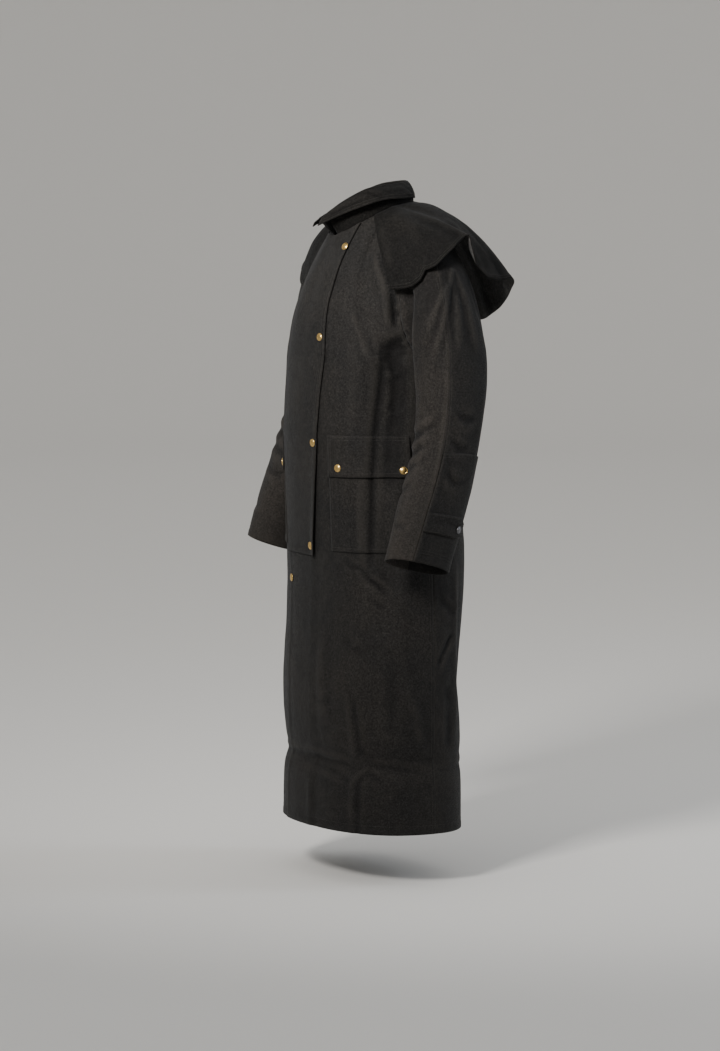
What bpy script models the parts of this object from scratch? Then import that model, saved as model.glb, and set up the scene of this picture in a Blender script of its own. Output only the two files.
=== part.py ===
"""Duster coat with a shoulder cape, in the shape it has when worn, with nobody inside.

Heights in the tables are measured from a level line just under the hem. The wearer's left is +X and the front faces -Y.
"""
import math
from collections import namedtuple

import bpy
import numpy as np
from mathutils import Vector

for old in list(bpy.data.objects):
    bpy.data.objects.remove(old, do_unlink=True)

# Cloth and seams, in metres.
WALL = 0.0016
SEAM_GAP = 0.0003
LAYER = WALL + 0.0004
HOLD_HEIGHT = 1.270

# The body tube.
SIDE_SEAM_Y = 0.018
BODY_SQUARENESS = 2.35
ARMPIT_HEIGHT = 1.000
SHOULDER_HEIGHT = 1.250
Level = namedtuple("Level", "height half_width front_depth back_depth")
BODY = (
    Level(0.000, 0.240, 0.1727, 0.1303),
    Level(0.080, 0.239, 0.1717, 0.1309),
    Level(0.120, 0.237, 0.1690, 0.1305),
    Level(0.155, 0.232, 0.1600, 0.1285),
    Level(0.210, 0.237, 0.1684, 0.1289),
    Level(0.320, 0.235, 0.1700, 0.1180),
    Level(0.420, 0.232, 0.1651, 0.1287),
    Level(0.520, 0.228, 0.1635, 0.1400),
    Level(0.595, 0.223, 0.1675, 0.1477),
    Level(0.700, 0.212, 0.1740, 0.1496),
    Level(0.835, 0.200, 0.1815, 0.1498),
    Level(0.910, 0.194, 0.1790, 0.1483),
    Level(1.000, 0.188, 0.1737, 0.1445),
)
ROW_HEIGHTS = (
    0.011, 0.040, 0.080, 0.120, 0.155, 0.190, 0.230, 0.275, 0.320, 0.370, 0.420, 0.470, 0.520,
    0.560, 0.580, 0.595, 0.650, 0.700, 0.750, 0.775, 0.795, 0.815, 0.835, 0.870, 0.910, 0.955,
    1.000,
)
UPPER_STEPS = 8

# Soft folds pressed in the body; angles go round from the front, the wearer's left is positive.
Fold = namedtuple("Fold", "angle spread low high depth")
BODY_FOLDS = (
    Fold(58, 13, 0.40, 1.00, -0.009),
    Fold(-60, 14, 0.36, 0.99, -0.008),
    Fold(38, 12, 0.02, 0.52, 0.004),
    Fold(138, 14, 0.34, 0.64, 0.005),
    Fold(162, 13, 0.02, 0.80, -0.007),
    Fold(-150, 15, 0.02, 0.72, -0.008),
    Fold(-120, 12, 0.05, 0.55, 0.005),
)
FOLD_FADE = 0.10

# Columns across the front, as distances from the middle line.
UNDERLAP_COLUMNS = (0.0, 0.030, 0.062, 0.094, 0.103, 0.111)
FLAP_EDGE = ((0.59, 0.035), (0.70, 0.047), (0.82, 0.060), (0.91, 0.064), (1.00, 0.072))
LAP_SHARES = (0.0, 0.35, 0.70, 1.0)
POCKET_FRONT_X = 0.090
SIDE_COLUMNS = 7
BACK_COLUMNS = 9

# The front's columns run from the right side seam to the left one, 12 is the middle line.
UNDER_COLUMNS = slice(0, 14)
RIGHT_SKIRT_ROWS = slice(0, ROW_HEIGHTS.index(0.560) + 1)
RIGHT_CHEST_ROWS = slice(ROW_HEIGHTS.index(0.560), None)
LAP_COLUMNS = slice(9, 24)
FLAP_COLUMNS = slice(8, 16)
RIGHT_POCKET_COLUMNS = slice(1, 8)
LEFT_POCKET_COLUMNS = slice(16, 23)
FLAP_ROWS = slice(ROW_HEIGHTS.index(0.580), None)
POCKET_ROWS = slice(ROW_HEIGHTS.index(0.595), ROW_HEIGHTS.index(0.795) + 1)
POCKET_FLAP_ROWS = slice(ROW_HEIGHTS.index(0.750), ROW_HEIGHTS.index(0.835) + 1)
FLAP_STAND_OFF = 0.006
FLAP_TOP_GAP = 0.006
POCKET_FLAP_LIFT = 0.002

# Neck curve, by the angle from the front.
NECK_HALF_WIDTH = 0.078
NECK_DEPTH = 0.088
NECK_Y = 0.005
NECK_ANGLES = (0, 30, 60, 90, 120, 180)
NECK_HEIGHTS = (1.243, 1.256, 1.281, 1.302, 1.311, 1.312)
NECK_NARROWING_LEFT = 0.82
NECK_NARROWING_RIGHT = 0.66
SHOULDER_NECK_ANGLE = 98
NECK_COLUMNS = 3

# Armhole, a tall loop whose distance from the middle changes with the height.
ARMHOLE_FRONT = 0.063
ARMHOLE_BACK = 0.064
ARMHOLE_HEIGHTS = (1.000, 1.080, 1.150, 1.210, 1.250)
ARMHOLE_X = (0.188, 0.184, 0.189, 0.203, 0.222)
ARMHOLE_LOW_Y = SIDE_SEAM_Y
ARMHOLE_HIGH_Y = 0.034

# Middle lines of chest and upper back above the armpit.
Profile = namedtuple("Profile", "share y height")
CHEST_LINE = (
    Profile(0.00, -0.1557, 1.000),
    Profile(0.33, -0.1480, 1.080),
    Profile(0.66, -0.1190, 1.165),
    Profile(1.00, -0.0830, 1.243),
)
BACK_LINE = (
    Profile(0.00, 0.1625, 1.000),
    Profile(0.33, 0.1600, 1.110),
    Profile(0.66, 0.1420, 1.220),
    Profile(1.00, 0.0930, 1.312),
)

# Sleeve rings from shoulder to cuff.
Ring = namedtuple("Ring", "outer_x outer_z inner_x inner_z centre_y half_depth tilt")
SLEEVE = (
    Ring(0.250, 1.224, 0.197, 0.984, 0.031, 0.062, 0.00),
    Ring(0.275, 1.174, 0.204, 0.965, 0.034, 0.069, 0.00),
    Ring(0.296, 1.107, 0.208, 0.942, 0.038, 0.075, 0.00),
    Ring(0.311, 1.030, 0.209, 0.914, 0.041, 0.077, 0.00),
    Ring(0.319, 0.950, 0.210, 0.878, 0.039, 0.076, 0.00),
    Ring(0.323, 0.876, 0.214, 0.830, 0.030, 0.072, 0.02),
    Ring(0.325, 0.806, 0.221, 0.780, 0.015, 0.071, 0.06),
    Ring(0.326, 0.742, 0.229, 0.724, -0.003, 0.073, 0.12),
    Ring(0.326, 0.684, 0.237, 0.670, -0.023, 0.073, 0.18),
    Ring(0.325, 0.645, 0.242, 0.632, -0.036, 0.072, 0.22),
    Ring(0.323, 0.612, 0.246, 0.604, -0.047, 0.071, 0.24),
    Ring(0.320, 0.584, 0.249, 0.578, -0.056, 0.070, 0.26),
)
SLEEVE_SQUARENESS = 2.2
RIGHT_ARM_LEAD = 0.010
ELBOW_ROW = 7
TAB_ROWS = (9, 10)
SEAM_SHIFT = 1
PATCH_COLUMNS = 7
TAB_COLUMNS = 4

# Collar stations from the left front end round the back to the right front end.
Collar = namedtuple("Collar", "angle fold_x fold_y fold_z edge_x edge_y edge_z")
COLLAR = (
    Collar(5, 0.018, -0.112, 1.290, 0.010, -0.131, 1.264),
    Collar(24, 0.036, -0.092, 1.311, 0.042, -0.106, 1.282),
    Collar(44, 0.054, -0.074, 1.326, 0.070, -0.080, 1.297),
    Collar(66, 0.067, -0.048, 1.340, 0.088, -0.052, 1.309),
    Collar(90, 0.070, -0.014, 1.347, 0.092, -0.016, 1.318),
    Collar(114, 0.064, 0.024, 1.351, 0.086, 0.030, 1.320),
    Collar(136, 0.050, 0.053, 1.354, 0.066, 0.064, 1.321),
    Collar(158, 0.028, 0.073, 1.356, 0.036, 0.086, 1.321),
    Collar(180, 0.000, 0.080, 1.357, 0.000, 0.093, 1.321),
    Collar(-158, -0.027, 0.073, 1.355, -0.036, 0.087, 1.320),
    Collar(-136, -0.048, 0.054, 1.350, -0.065, 0.065, 1.316),
    Collar(-114, -0.060, 0.026, 1.338, -0.084, 0.032, 1.306),
    Collar(-90, -0.063, -0.012, 1.319, -0.087, -0.014, 1.293),
    Collar(-66, -0.058, -0.046, 1.303, -0.081, -0.052, 1.280),
    Collar(-44, -0.044, -0.070, 1.293, -0.062, -0.081, 1.271),
    Collar(-24, -0.029, -0.092, 1.287, -0.038, -0.108, 1.266),
    Collar(-5, -0.014, -0.113, 1.279, -0.010, -0.131, 1.262),
)
STAND_RISE = 0.0030
STAND_LEAN = 0.0025
FOLD_HEIGHT = 0.0032

# Cape stations: the neck angle, a point halfway and a point on the hem.
Station = namedtuple("Station", "angle mid_x mid_y mid_z hem_x hem_y hem_z")
CAPE = (
    Station(65, 0.144, -0.062, 1.224, 0.190, -0.063, 1.136),
    Station(70, 0.166, -0.048, 1.239, 0.224, -0.044, 1.143),
    Station(76, 0.186, -0.024, 1.257, 0.266, -0.024, 1.163),
    Station(83, 0.194, -0.002, 1.267, 0.289, -0.006, 1.184),
    Station(90, 0.196, 0.022, 1.273, 0.293, 0.022, 1.214),
    Station(98, 0.192, 0.050, 1.276, 0.278, 0.068, 1.243),
    Station(106, 0.186, 0.076, 1.277, 0.283, 0.088, 1.191),
    Station(116, 0.173, 0.099, 1.277, 0.275, 0.117, 1.162),
    Station(128, 0.158, 0.121, 1.275, 0.257, 0.160, 1.157),
    Station(140, 0.136, 0.145, 1.268, 0.233, 0.204, 1.155),
    Station(152, 0.100, 0.162, 1.261, 0.190, 0.228, 1.130),
    Station(163, 0.063, 0.172, 1.254, 0.122, 0.241, 1.090),
    Station(172, 0.030, 0.176, 1.250, 0.060, 0.244, 1.066),
    Station(180, 0.000, 0.177, 1.249, 0.000, 0.243, 1.062),
)
CAPE_RIGHT_SET_BACK = 0.005
CAPE_ROWS = 8
CAPE_NECK_OUT = 0.0032
CAPE_NECK_UP = 0.0012

# The wearer's right shoulder hangs a little lower than the left one.
SHOULDER_DROP = 0.018
DROP_START = 1.000
DROP_END = 1.250
DROP_WIDTH = 0.080

# Snaps: the piece that carries each one, the column across it and the height.
SNAP_RADIUS = 0.008
SNAP_PROFILE = ((0.0, 1.0), (0.0007, 1.0), (0.0018, 0.90), (0.0026, 0.58), (0.0029, 0.22))
SNAP_SIDES = 14
SNAP_SEAT = 0.0006
Snap = namedtuple("Snap", "name panel column height")
SNAPS = (
    Snap("snap_flap_1", "storm_flap", 6.70, 1.222),
    Snap("snap_flap_2", "storm_flap", 6.35, 1.036),
    Snap("snap_flap_3", "storm_flap", 6.35, 0.817),
    Snap("snap_flap_4", "storm_flap", 5.55, 0.600),
    Snap("snap_lap", "front_left", 0.34, 0.523),
    Snap("snap_pocket_left_front", "pocket_flap_left", 0.80, 0.768),
    Snap("snap_pocket_left_back", "pocket_flap_left", 5.50, 0.765),
    Snap("snap_pocket_right_front", "pocket_flap_right", 5.55, 0.765),
    Snap("snap_pocket_right_back", "pocket_flap_right", 0.50, 0.765),
)

COAT_BLACK = (0.020, 0.019, 0.018, 1.0)
SLEEVE_BLACK = (0.028, 0.025, 0.022, 1.0)
BRASS = (0.78, 0.55, 0.20, 1.0)
DARK_METAL = (0.16, 0.16, 0.17, 1.0)


middles = {}
coat = bpy.data.collections.new("duster_coat")
bpy.context.scene.collection.children.link(coat)


def material(name, colour, roughness, metallic=0.0):
    """One material with the piece's own colour."""
    made = bpy.data.materials.new(name)
    made.use_nodes = True
    shader = made.node_tree.nodes["Principled BSDF"]
    shader.inputs["Base Color"].default_value = colour
    shader.inputs["Roughness"].default_value = roughness
    shader.inputs["Metallic"].default_value = metallic
    return made


def signed_volume(points, faces):
    """Volume inside the faces, negative when they face inwards."""
    total = 0.0
    for face in faces:
        first = points[face[0]]
        for b, c in zip(face[1:], face[2:]):
            total += float(np.dot(first, np.cross(points[b], points[c]))) / 6
    return total


def add_piece(name, points, faces, colour, roughness=0.62, metallic=0.0):
    """Make one named solid; its own origin stays at the place where the coat is held."""
    points = np.array([tuple(p) for p in points]) - np.array([0.0, 0.0, HOLD_HEIGHT])
    if signed_volume(points, faces) < 0:
        faces = [(face[0],) + tuple(reversed(face[1:])) for face in faces]
    mesh = bpy.data.meshes.new(name)
    mesh.from_pydata(points.tolist(), [], faces)
    piece = bpy.data.objects.new(name, mesh)
    piece.data.materials.append(material(name, colour, roughness, metallic))
    coat.objects.link(piece)
    return piece


def settle(points):
    """Points with the wearer's right shoulder let down."""
    moved = np.array(points, dtype=float)
    side = np.clip(-moved[..., 0] / DROP_WIDTH, 0, 1)
    rise = np.clip((moved[..., 2] - DROP_START) / (DROP_END - DROP_START), 0, 1)
    moved[..., 2] -= SHOULDER_DROP * side**2 * (3 - 2 * side) * rise**2 * (3 - 2 * rise)
    return moved


def unit(vectors):
    """Vectors of length one."""
    return vectors / np.maximum(np.linalg.norm(vectors, axis=-1, keepdims=True), 1e-12)


def face_vectors(grid):
    """The area vector of each cell of a grid."""
    return np.cross(grid[1:, 1:] - grid[:-1, :-1], grid[1:, :-1] - grid[:-1, 1:])


def shared_normals(grids, outwards):
    """Normals of grids that meet: points in the same place get the same normal."""
    sums = {}
    for grid, sign in zip(grids, outwards):
        cells = face_vectors(grid) * sign
        rows, columns = cells.shape[:2]
        for r in range(rows):
            for c in range(columns):
                for corner in (grid[r, c], grid[r + 1, c], grid[r, c + 1], grid[r + 1, c + 1]):
                    key = tuple(np.round(corner, 6))
                    sums[key] = sums.get(key, np.zeros(3)) + cells[r, c]
    result = []
    for grid in grids:
        flat = [sums[tuple(np.round(p, 6))] for p in grid.reshape(-1, 3)]
        result.append(unit(np.array(flat)).reshape(grid.shape))
    return result


def pull_in(grid, side, amount):
    """Move one border of a grid along its own surface, towards the next line of points."""
    moved = grid.copy()
    views = {
        "first_row": (moved[0], grid[1]),
        "last_row": (moved[-1], grid[-2]),
        "first_column": (moved[:, 0], grid[:, 1]),
        "last_column": (moved[:, -1], grid[:, -2]),
    }
    border, inner = views[side]
    border += unit(inner - border) * amount
    return moved


def cloth(name, grid, normals, lift=0.0, seams=(), colour=COAT_BLACK, roughness=0.62):
    """A sheet of the wall's thickness, its middle on the grid moved out by the lift."""
    middle = grid + normals * np.asarray(lift)[..., None] if np.ndim(lift) else grid + normals * lift
    for side in seams:
        middle = pull_in(middle, side, SEAM_GAP / 2)
    middles[name] = (middle, normals)
    rows, columns = middle.shape[:2]
    outer = (middle + normals * WALL / 2).reshape(-1, 3)
    inner = (middle - normals * WALL / 2).reshape(-1, 3)
    count = rows * columns
    faces = []
    for r in range(rows - 1):
        for c in range(columns - 1):
            a = r * columns + c
            faces.append((a, a + 1, a + columns + 1, a + columns))
            faces.append((count + a, count + a + columns, count + a + columns + 1, count + a + 1))
    border = [c for c in range(columns)]
    border += [r * columns + columns - 1 for r in range(1, rows)]
    border += [(rows - 1) * columns + c for c in range(columns - 2, -1, -1)]
    border += [r * columns for r in range(rows - 2, 0, -1)]
    for here, after in zip(border, border[1:] + border[:1]):
        faces.append((after, here, count + here, count + after))
    return add_piece(name, np.vstack([outer, inner]), faces, colour, roughness)


def table_value(table, key, at, name):
    """A value between the rows of a table."""
    return np.interp(at, [getattr(row, key) for row in table], [getattr(row, name) for row in table])


def rounded(value):
    """The squarish curve of the body's rings."""
    return math.copysign(abs(value) ** (2 / BODY_SQUARENESS), value)


def ring_point(height, angle):
    """A point on the body at an angle from the front, with its soft folds."""
    half_width = table_value(BODY, "height", height, "half_width")
    name = "front_depth" if abs(angle) <= 90 else "back_depth"
    depth = table_value(BODY, "height", height, name)
    turn = math.radians(angle)
    reach = 0.0
    for fold in BODY_FOLDS:
        away = abs((angle - fold.angle + 180) % 360 - 180) / fold.spread
        rise = min(height - fold.low, fold.high - height) / FOLD_FADE
        if away < 1 and rise > 0:
            reach += fold.depth * math.cos(away * math.pi / 2) ** 2 * min(rise, 1.0)
    x = half_width * rounded(math.sin(turn))
    y = SIDE_SEAM_Y - depth * rounded(math.cos(turn))
    return np.array([x + reach * math.sin(turn), y - reach * math.cos(turn), height])


def angle_at(height, x):
    """The angle of the ring point at a distance x from the middle of the front."""
    half_width = table_value(BODY, "height", height, "half_width")
    return math.degrees(math.asin((x / half_width) ** (BODY_SQUARENESS / 2)))


def neck_point(angle):
    """A point on the neck seam."""
    turn = math.radians(angle)
    x = NECK_HALF_WIDTH * math.sin(turn)
    y = NECK_Y - NECK_DEPTH * math.cos(turn)
    return np.array([x, y, np.interp(abs(angle), NECK_ANGLES, NECK_HEIGHTS)])


def armhole_point(share, direction):
    """A point on the armhole, from the armpit (0) to the shoulder (1), on its front or back side."""
    climb = math.radians(-90 + 180 * share)
    height = (ARMPIT_HEIGHT + SHOULDER_HEIGHT) / 2
    height += (SHOULDER_HEIGHT - ARMPIT_HEIGHT) / 2 * math.sin(climb)
    middle = ARMHOLE_LOW_Y + (ARMHOLE_HIGH_Y - ARMHOLE_LOW_Y) * share
    reach = ARMHOLE_FRONT if direction < 0 else ARMHOLE_BACK
    x = np.interp(height, ARMHOLE_HEIGHTS, ARMHOLE_X)
    return np.array([x, middle + direction * reach * math.cos(climb), height])


def profile_point(profile, share):
    """A point on the middle line of the chest or the back."""
    y = table_value(profile, "share", share, "y")
    return np.array([0.0, y, table_value(profile, "share", share, "height")])


def shoulder_point(share):
    """A point on the shoulder seam, from the neck (0) to the armhole (1)."""
    neck = neck_point(SHOULDER_NECK_ANGLE)
    return neck + (armhole_point(1.0, 1) - neck) * share


def front_columns(height, central):
    """Ring angles of the columns of one front, from the middle to the side seam."""
    angles = [angle_at(height, x) for x in central]
    last = angles[-1]
    return angles + [last + (90 - last) * k / SIDE_COLUMNS for k in range(1, SIDE_COLUMNS + 1)]


def central_left(height):
    """Column distances on the left front, which follow the edge of the storm flap."""
    edge = np.interp(height, [h for h, x in FLAP_EDGE], [x for h, x in FLAP_EDGE])
    return [edge * share for share in LAP_SHARES] + [POCKET_FRONT_X]


def front_top(central, narrowing):
    """Upper ends of a front's columns: along the neck, then along the shoulder."""
    ends = []
    for x in central:
        ends.append(math.degrees(math.asin(x * narrowing / NECK_HALF_WIDTH)))
    widest = ends[-1]
    step = (SHOULDER_NECK_ANGLE - widest) / NECK_COLUMNS
    ends += [widest + step * k for k in range(1, NECK_COLUMNS + 1)]
    points = [neck_point(angle) for angle in ends]
    seam_columns = SIDE_COLUMNS - NECK_COLUMNS
    return points + [shoulder_point(k / seam_columns) for k in range(1, seam_columns + 1)]


def upper_rows(low, top, middle, armhole):
    """Rows between the armpit ring and the neck, filled in from the four borders."""
    columns = len(low)
    weights = np.linspace(0, 1, columns) ** 1.3
    rows = []
    for k in range(1, UPPER_STEPS + 1):
        share = k / UPPER_STEPS
        straight = np.array(low) * (1 - share) + np.array(top) * share
        left_gap = middle(share) - straight[0]
        right_gap = armhole(share) - straight[-1]
        rows.append(straight + np.outer(1 - weights, left_gap) + np.outer(weights, right_gap))
    return rows


def front_grid(side, central_at, narrowing):
    """All points of one front from its middle line to the side seam."""
    rows = []
    for height in ROW_HEIGHTS:
        angles = front_columns(height, central_at(height))
        rows.append([ring_point(height, side * angle) for angle in angles])
    low = np.array(rows[-1])
    low[:, 0] *= side
    top = front_top(central_at(ARMPIT_HEIGHT), narrowing)
    chest = upper_rows(low, top, lambda s: profile_point(CHEST_LINE, s), lambda s: armhole_point(s, -1))
    for row in chest:
        row[:, 0] *= side
        rows.append(list(row))
    return np.array(rows)


def back_half(side):
    """All points of one half of the back, from the side seam to the middle line."""
    turns = np.linspace(90, 180, BACK_COLUMNS + 1)
    rows = [[ring_point(height, side * turn) for turn in turns] for height in ROW_HEIGHTS]
    low = np.array(rows[-1])[::-1].copy()
    low[:, 0] *= side
    seam_columns = SIDE_COLUMNS - NECK_COLUMNS
    neck_columns = BACK_COLUMNS - seam_columns
    top = [neck_point(180 - (180 - SHOULDER_NECK_ANGLE) * k / neck_columns) for k in range(neck_columns + 1)]
    top += [shoulder_point(k / seam_columns) for k in range(1, seam_columns + 1)]
    upper = upper_rows(low, top, lambda s: profile_point(BACK_LINE, s), lambda s: armhole_point(s, 1))
    for row in upper:
        row[:, 0] *= side
        rows.append(list(row[::-1]))
    return np.array(rows)


def spot(grid, normals, column, height):
    """The place at a column number and a height on a grid, and the way its cell faces."""
    first = min(int(column), grid.shape[1] - 2)
    part = column - first
    line = grid[:, first] * (1 - part) + grid[:, first + 1] * part
    row = np.interp(height, line[:, 2], np.arange(len(line)))
    low = min(int(row), len(line) - 2)
    across = row - low
    facing = unit(face_vectors(grid[low:low + 2, first:first + 2])[0, 0])
    if np.dot(facing, normals[low, first]) < 0:
        facing = -facing
    return line[low] * (1 - across) + line[low + 1] * across, facing


def add_snap(name, place, normal, colour, roughness):
    """A domed cap, turned from a profile and set with its back on the cloth."""
    direction = Vector(normal).normalized()
    turn = Vector((0, 0, 1)).rotation_difference(direction)
    points = []
    for height, share in SNAP_PROFILE:
        for k in range(SNAP_SIDES):
            around = 2 * math.pi * k / SNAP_SIDES
            reach = SNAP_RADIUS * share
            local = Vector((reach * math.cos(around), reach * math.sin(around), height))
            points.append(Vector(place) + turn @ local)
    faces = [tuple(range(SNAP_SIDES - 1, -1, -1))]
    for ring in range(len(SNAP_PROFILE) - 1):
        for k in range(SNAP_SIDES):
            a = ring * SNAP_SIDES + k
            b = ring * SNAP_SIDES + (k + 1) % SNAP_SIDES
            faces.append((a, b, b + SNAP_SIDES, a + SNAP_SIDES))
    last = (len(SNAP_PROFILE) - 1) * SNAP_SIDES
    faces.append(tuple(range(last, last + SNAP_SIDES)))
    return add_piece(name, points, faces, colour, roughness, 1.0)


# Fronts and back share the points and normals of their seams.
left_grid = front_grid(1, central_left, NECK_NARROWING_LEFT)
right_grid = settle(front_grid(-1, lambda height: UNDERLAP_COLUMNS, NECK_NARROWING_RIGHT))
back_left = back_half(1)
back_right = settle(back_half(-1))
found = shared_normals([left_grid, right_grid, back_left, back_right], [-1, 1, -1, 1])
left_normals, right_normals, back_left_normals, back_right_normals = found
if left_normals[5, 6, 0] < 0:
    left_normals, right_normals = -left_normals, -right_normals
    back_left_normals, back_right_normals = -back_left_normals, -back_right_normals

front = np.concatenate([right_grid[:, ::-1], left_grid[:, 1:]], axis=1)
front_normals = np.concatenate([right_normals[:, ::-1], left_normals[:, 1:]], axis=1)
lap_lift = np.zeros(front[:, LAP_COLUMNS].shape[:2])
lap_lift[:, :5] = LAYER
lap_lift[:, 5] = LAYER * 0.5
cloth("front_left", front[:, LAP_COLUMNS], front_normals[:, LAP_COLUMNS], lap_lift,
      ("last_column", "last_row"))
for name, rows, seams in (
    ("front_right", RIGHT_CHEST_ROWS, ("first_column", "first_row", "last_row")),
    ("skirt_right", RIGHT_SKIRT_ROWS, ("first_column", "last_row")),
):
    cloth(name, front[rows, UNDER_COLUMNS], front_normals[rows, UNDER_COLUMNS], 0.0, seams)
back = np.concatenate([back_left, back_right[:, -2::-1]], axis=1)
back_normals = np.concatenate([back_left_normals, back_right_normals[:, -2::-1]], axis=1)
cloth("back", back, back_normals, 0.0, ("first_column", "last_column", "last_row"))

# The storm flap, from its seam on the right front to its snapped edge on the left front.
flap = front[FLAP_ROWS, FLAP_COLUMNS]
flap_normals = front_normals[FLAP_ROWS, FLAP_COLUMNS]
flap_lift = np.full(flap.shape[:2], 2 * LAYER)
flap_lift[:, 0] = LAYER
low_share = np.clip((0.90 - flap[:, 7, 2]) / 0.28, 0, 1)
flap_lift[:, 7] += FLAP_STAND_OFF * low_share
flap_lift[:, 6] += FLAP_STAND_OFF * 0.35 * low_share
flap = pull_in(flap, "last_row", FLAP_TOP_GAP)
cloth("storm_flap", flap, flap_normals, flap_lift)

# Pockets and their flaps, laid on the fronts.
for name, columns in (("left", LEFT_POCKET_COLUMNS), ("right", RIGHT_POCKET_COLUMNS)):
    cloth("pocket_" + name, front[POCKET_ROWS, columns], front_normals[POCKET_ROWS, columns], LAYER)
    cover = front[POCKET_FLAP_ROWS, columns]
    lift = np.full(cover.shape[:2], 2 * LAYER)
    lift[-2:] = LAYER
    lift[0] += POCKET_FLAP_LIFT
    cloth("pocket_flap_" + name, cover, front_normals[POCKET_FLAP_ROWS, columns], lift)

# Collar: the stand rises from the neck seam and the fall turns over its top edge.
stand_rows = []
fall_rows = []
for row in COLLAR:
    base = settle(neck_point(row.angle)) + np.array([0, 0, STAND_RISE])
    fold = np.array([row.fold_x, row.fold_y, row.fold_z])
    edge = np.array([row.edge_x, row.edge_y, row.edge_z])
    out = unit(np.array([edge[0] - fold[0], edge[1] - fold[1], 0.0]))
    top = fold - out * STAND_LEAN - np.array([0, 0, FOLD_HEIGHT + 0.0014])
    bulge = (base + top) / 2 + out * 0.002
    stand_rows.append([base, bulge, top])
    start = fold - out * STAND_LEAN - np.array([0, 0, FOLD_HEIGHT])
    shoulder = fold + out * 0.0032 - np.array([0, 0, 0.0030])
    middle = (shoulder + edge) / 2 + out * 0.0035
    fall_rows.append([start, fold, shoulder, middle, edge])
stand_grid = np.array(stand_rows).transpose(1, 0, 2)
fall_grid = np.array(fall_rows).transpose(1, 0, 2)
stand_normals, = shared_normals([stand_grid], [1])
fall_normals, = shared_normals([fall_grid], [1])
cloth("collar_stand", stand_grid, stand_normals)
cloth("collar_fall", fall_grid, fall_normals)

# Cape: each station runs from the neck through its halfway point to the hem.
cape_columns = []
for row in list(CAPE) + list(CAPE[-2::-1]):
    side = 1 if len(cape_columns) < len(CAPE) else -1
    turn = math.radians(row.angle)
    forward = max(0.0, 1 - (row.angle - CAPE[0].angle) / (98 - CAPE[0].angle))
    set_back = CAPE_RIGHT_SET_BACK * forward if side < 0 else 0.0
    seam = neck_point(row.angle)
    seam = seam + np.array([math.sin(turn) * CAPE_NECK_OUT, -math.cos(turn) * CAPE_NECK_OUT, CAPE_NECK_UP])
    middle = np.array([row.mid_x, row.mid_y + set_back, row.mid_z])
    hem = np.array([row.hem_x, row.hem_y + set_back, row.hem_z])
    mirror = np.array([side, 1, 1])
    seam, middle, hem = seam * mirror, middle * mirror, hem * mirror
    line = []
    for t in np.linspace(0, 1, CAPE_ROWS):
        line.append(seam * (1 - t) * (1 - 2 * t) + middle * 4 * t * (1 - t) + hem * t * (2 * t - 1))
    cape_columns.append(line)
cape_grid = settle(np.array(cape_columns).transpose(1, 0, 2))
cape_normals, = shared_normals([cape_grid], [1])
cloth("cape", cape_grid, cape_normals)


def sleeve_grid(side, lead, rim_normals):
    """Rings of a sleeve from the armhole to the cuff, starting at the outer seam."""
    steps = UPPER_STEPS
    first = []
    for j in range(2 * steps):
        share = 1 - j / steps if j <= steps else (j - steps) / steps
        point = armhole_point(share, -1 if j <= steps else 1)
        point[0] += abs(rim_normals[j][0]) * WALL / 2 + 0.0004
        first.append(point)
    rings = [first]
    for number, row in enumerate(SLEEVE):
        forward = lead * min(1.0, max(0.0, (number - 3) / 4))
        ring = []
        for j in range(2 * steps):
            turn = math.pi * j / steps
            up = math.copysign(abs(math.cos(turn)) ** (2 / SLEEVE_SQUARENESS), math.cos(turn))
            front = math.copysign(abs(math.sin(turn)) ** (2 / SLEEVE_SQUARENESS), math.sin(turn))
            x = (row.outer_x + row.inner_x) / 2 + (row.outer_x - row.inner_x) / 2 * up
            z = (row.outer_z + row.inner_z) / 2 + (row.outer_z - row.inner_z) / 2 * up
            away = -row.half_depth * front
            ring.append([x, row.centre_y - forward + away, z - row.tilt * away])
        rings.append(ring)
    grid = np.array(rings)
    grid[..., 0] *= side
    return settle(grid)


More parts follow.
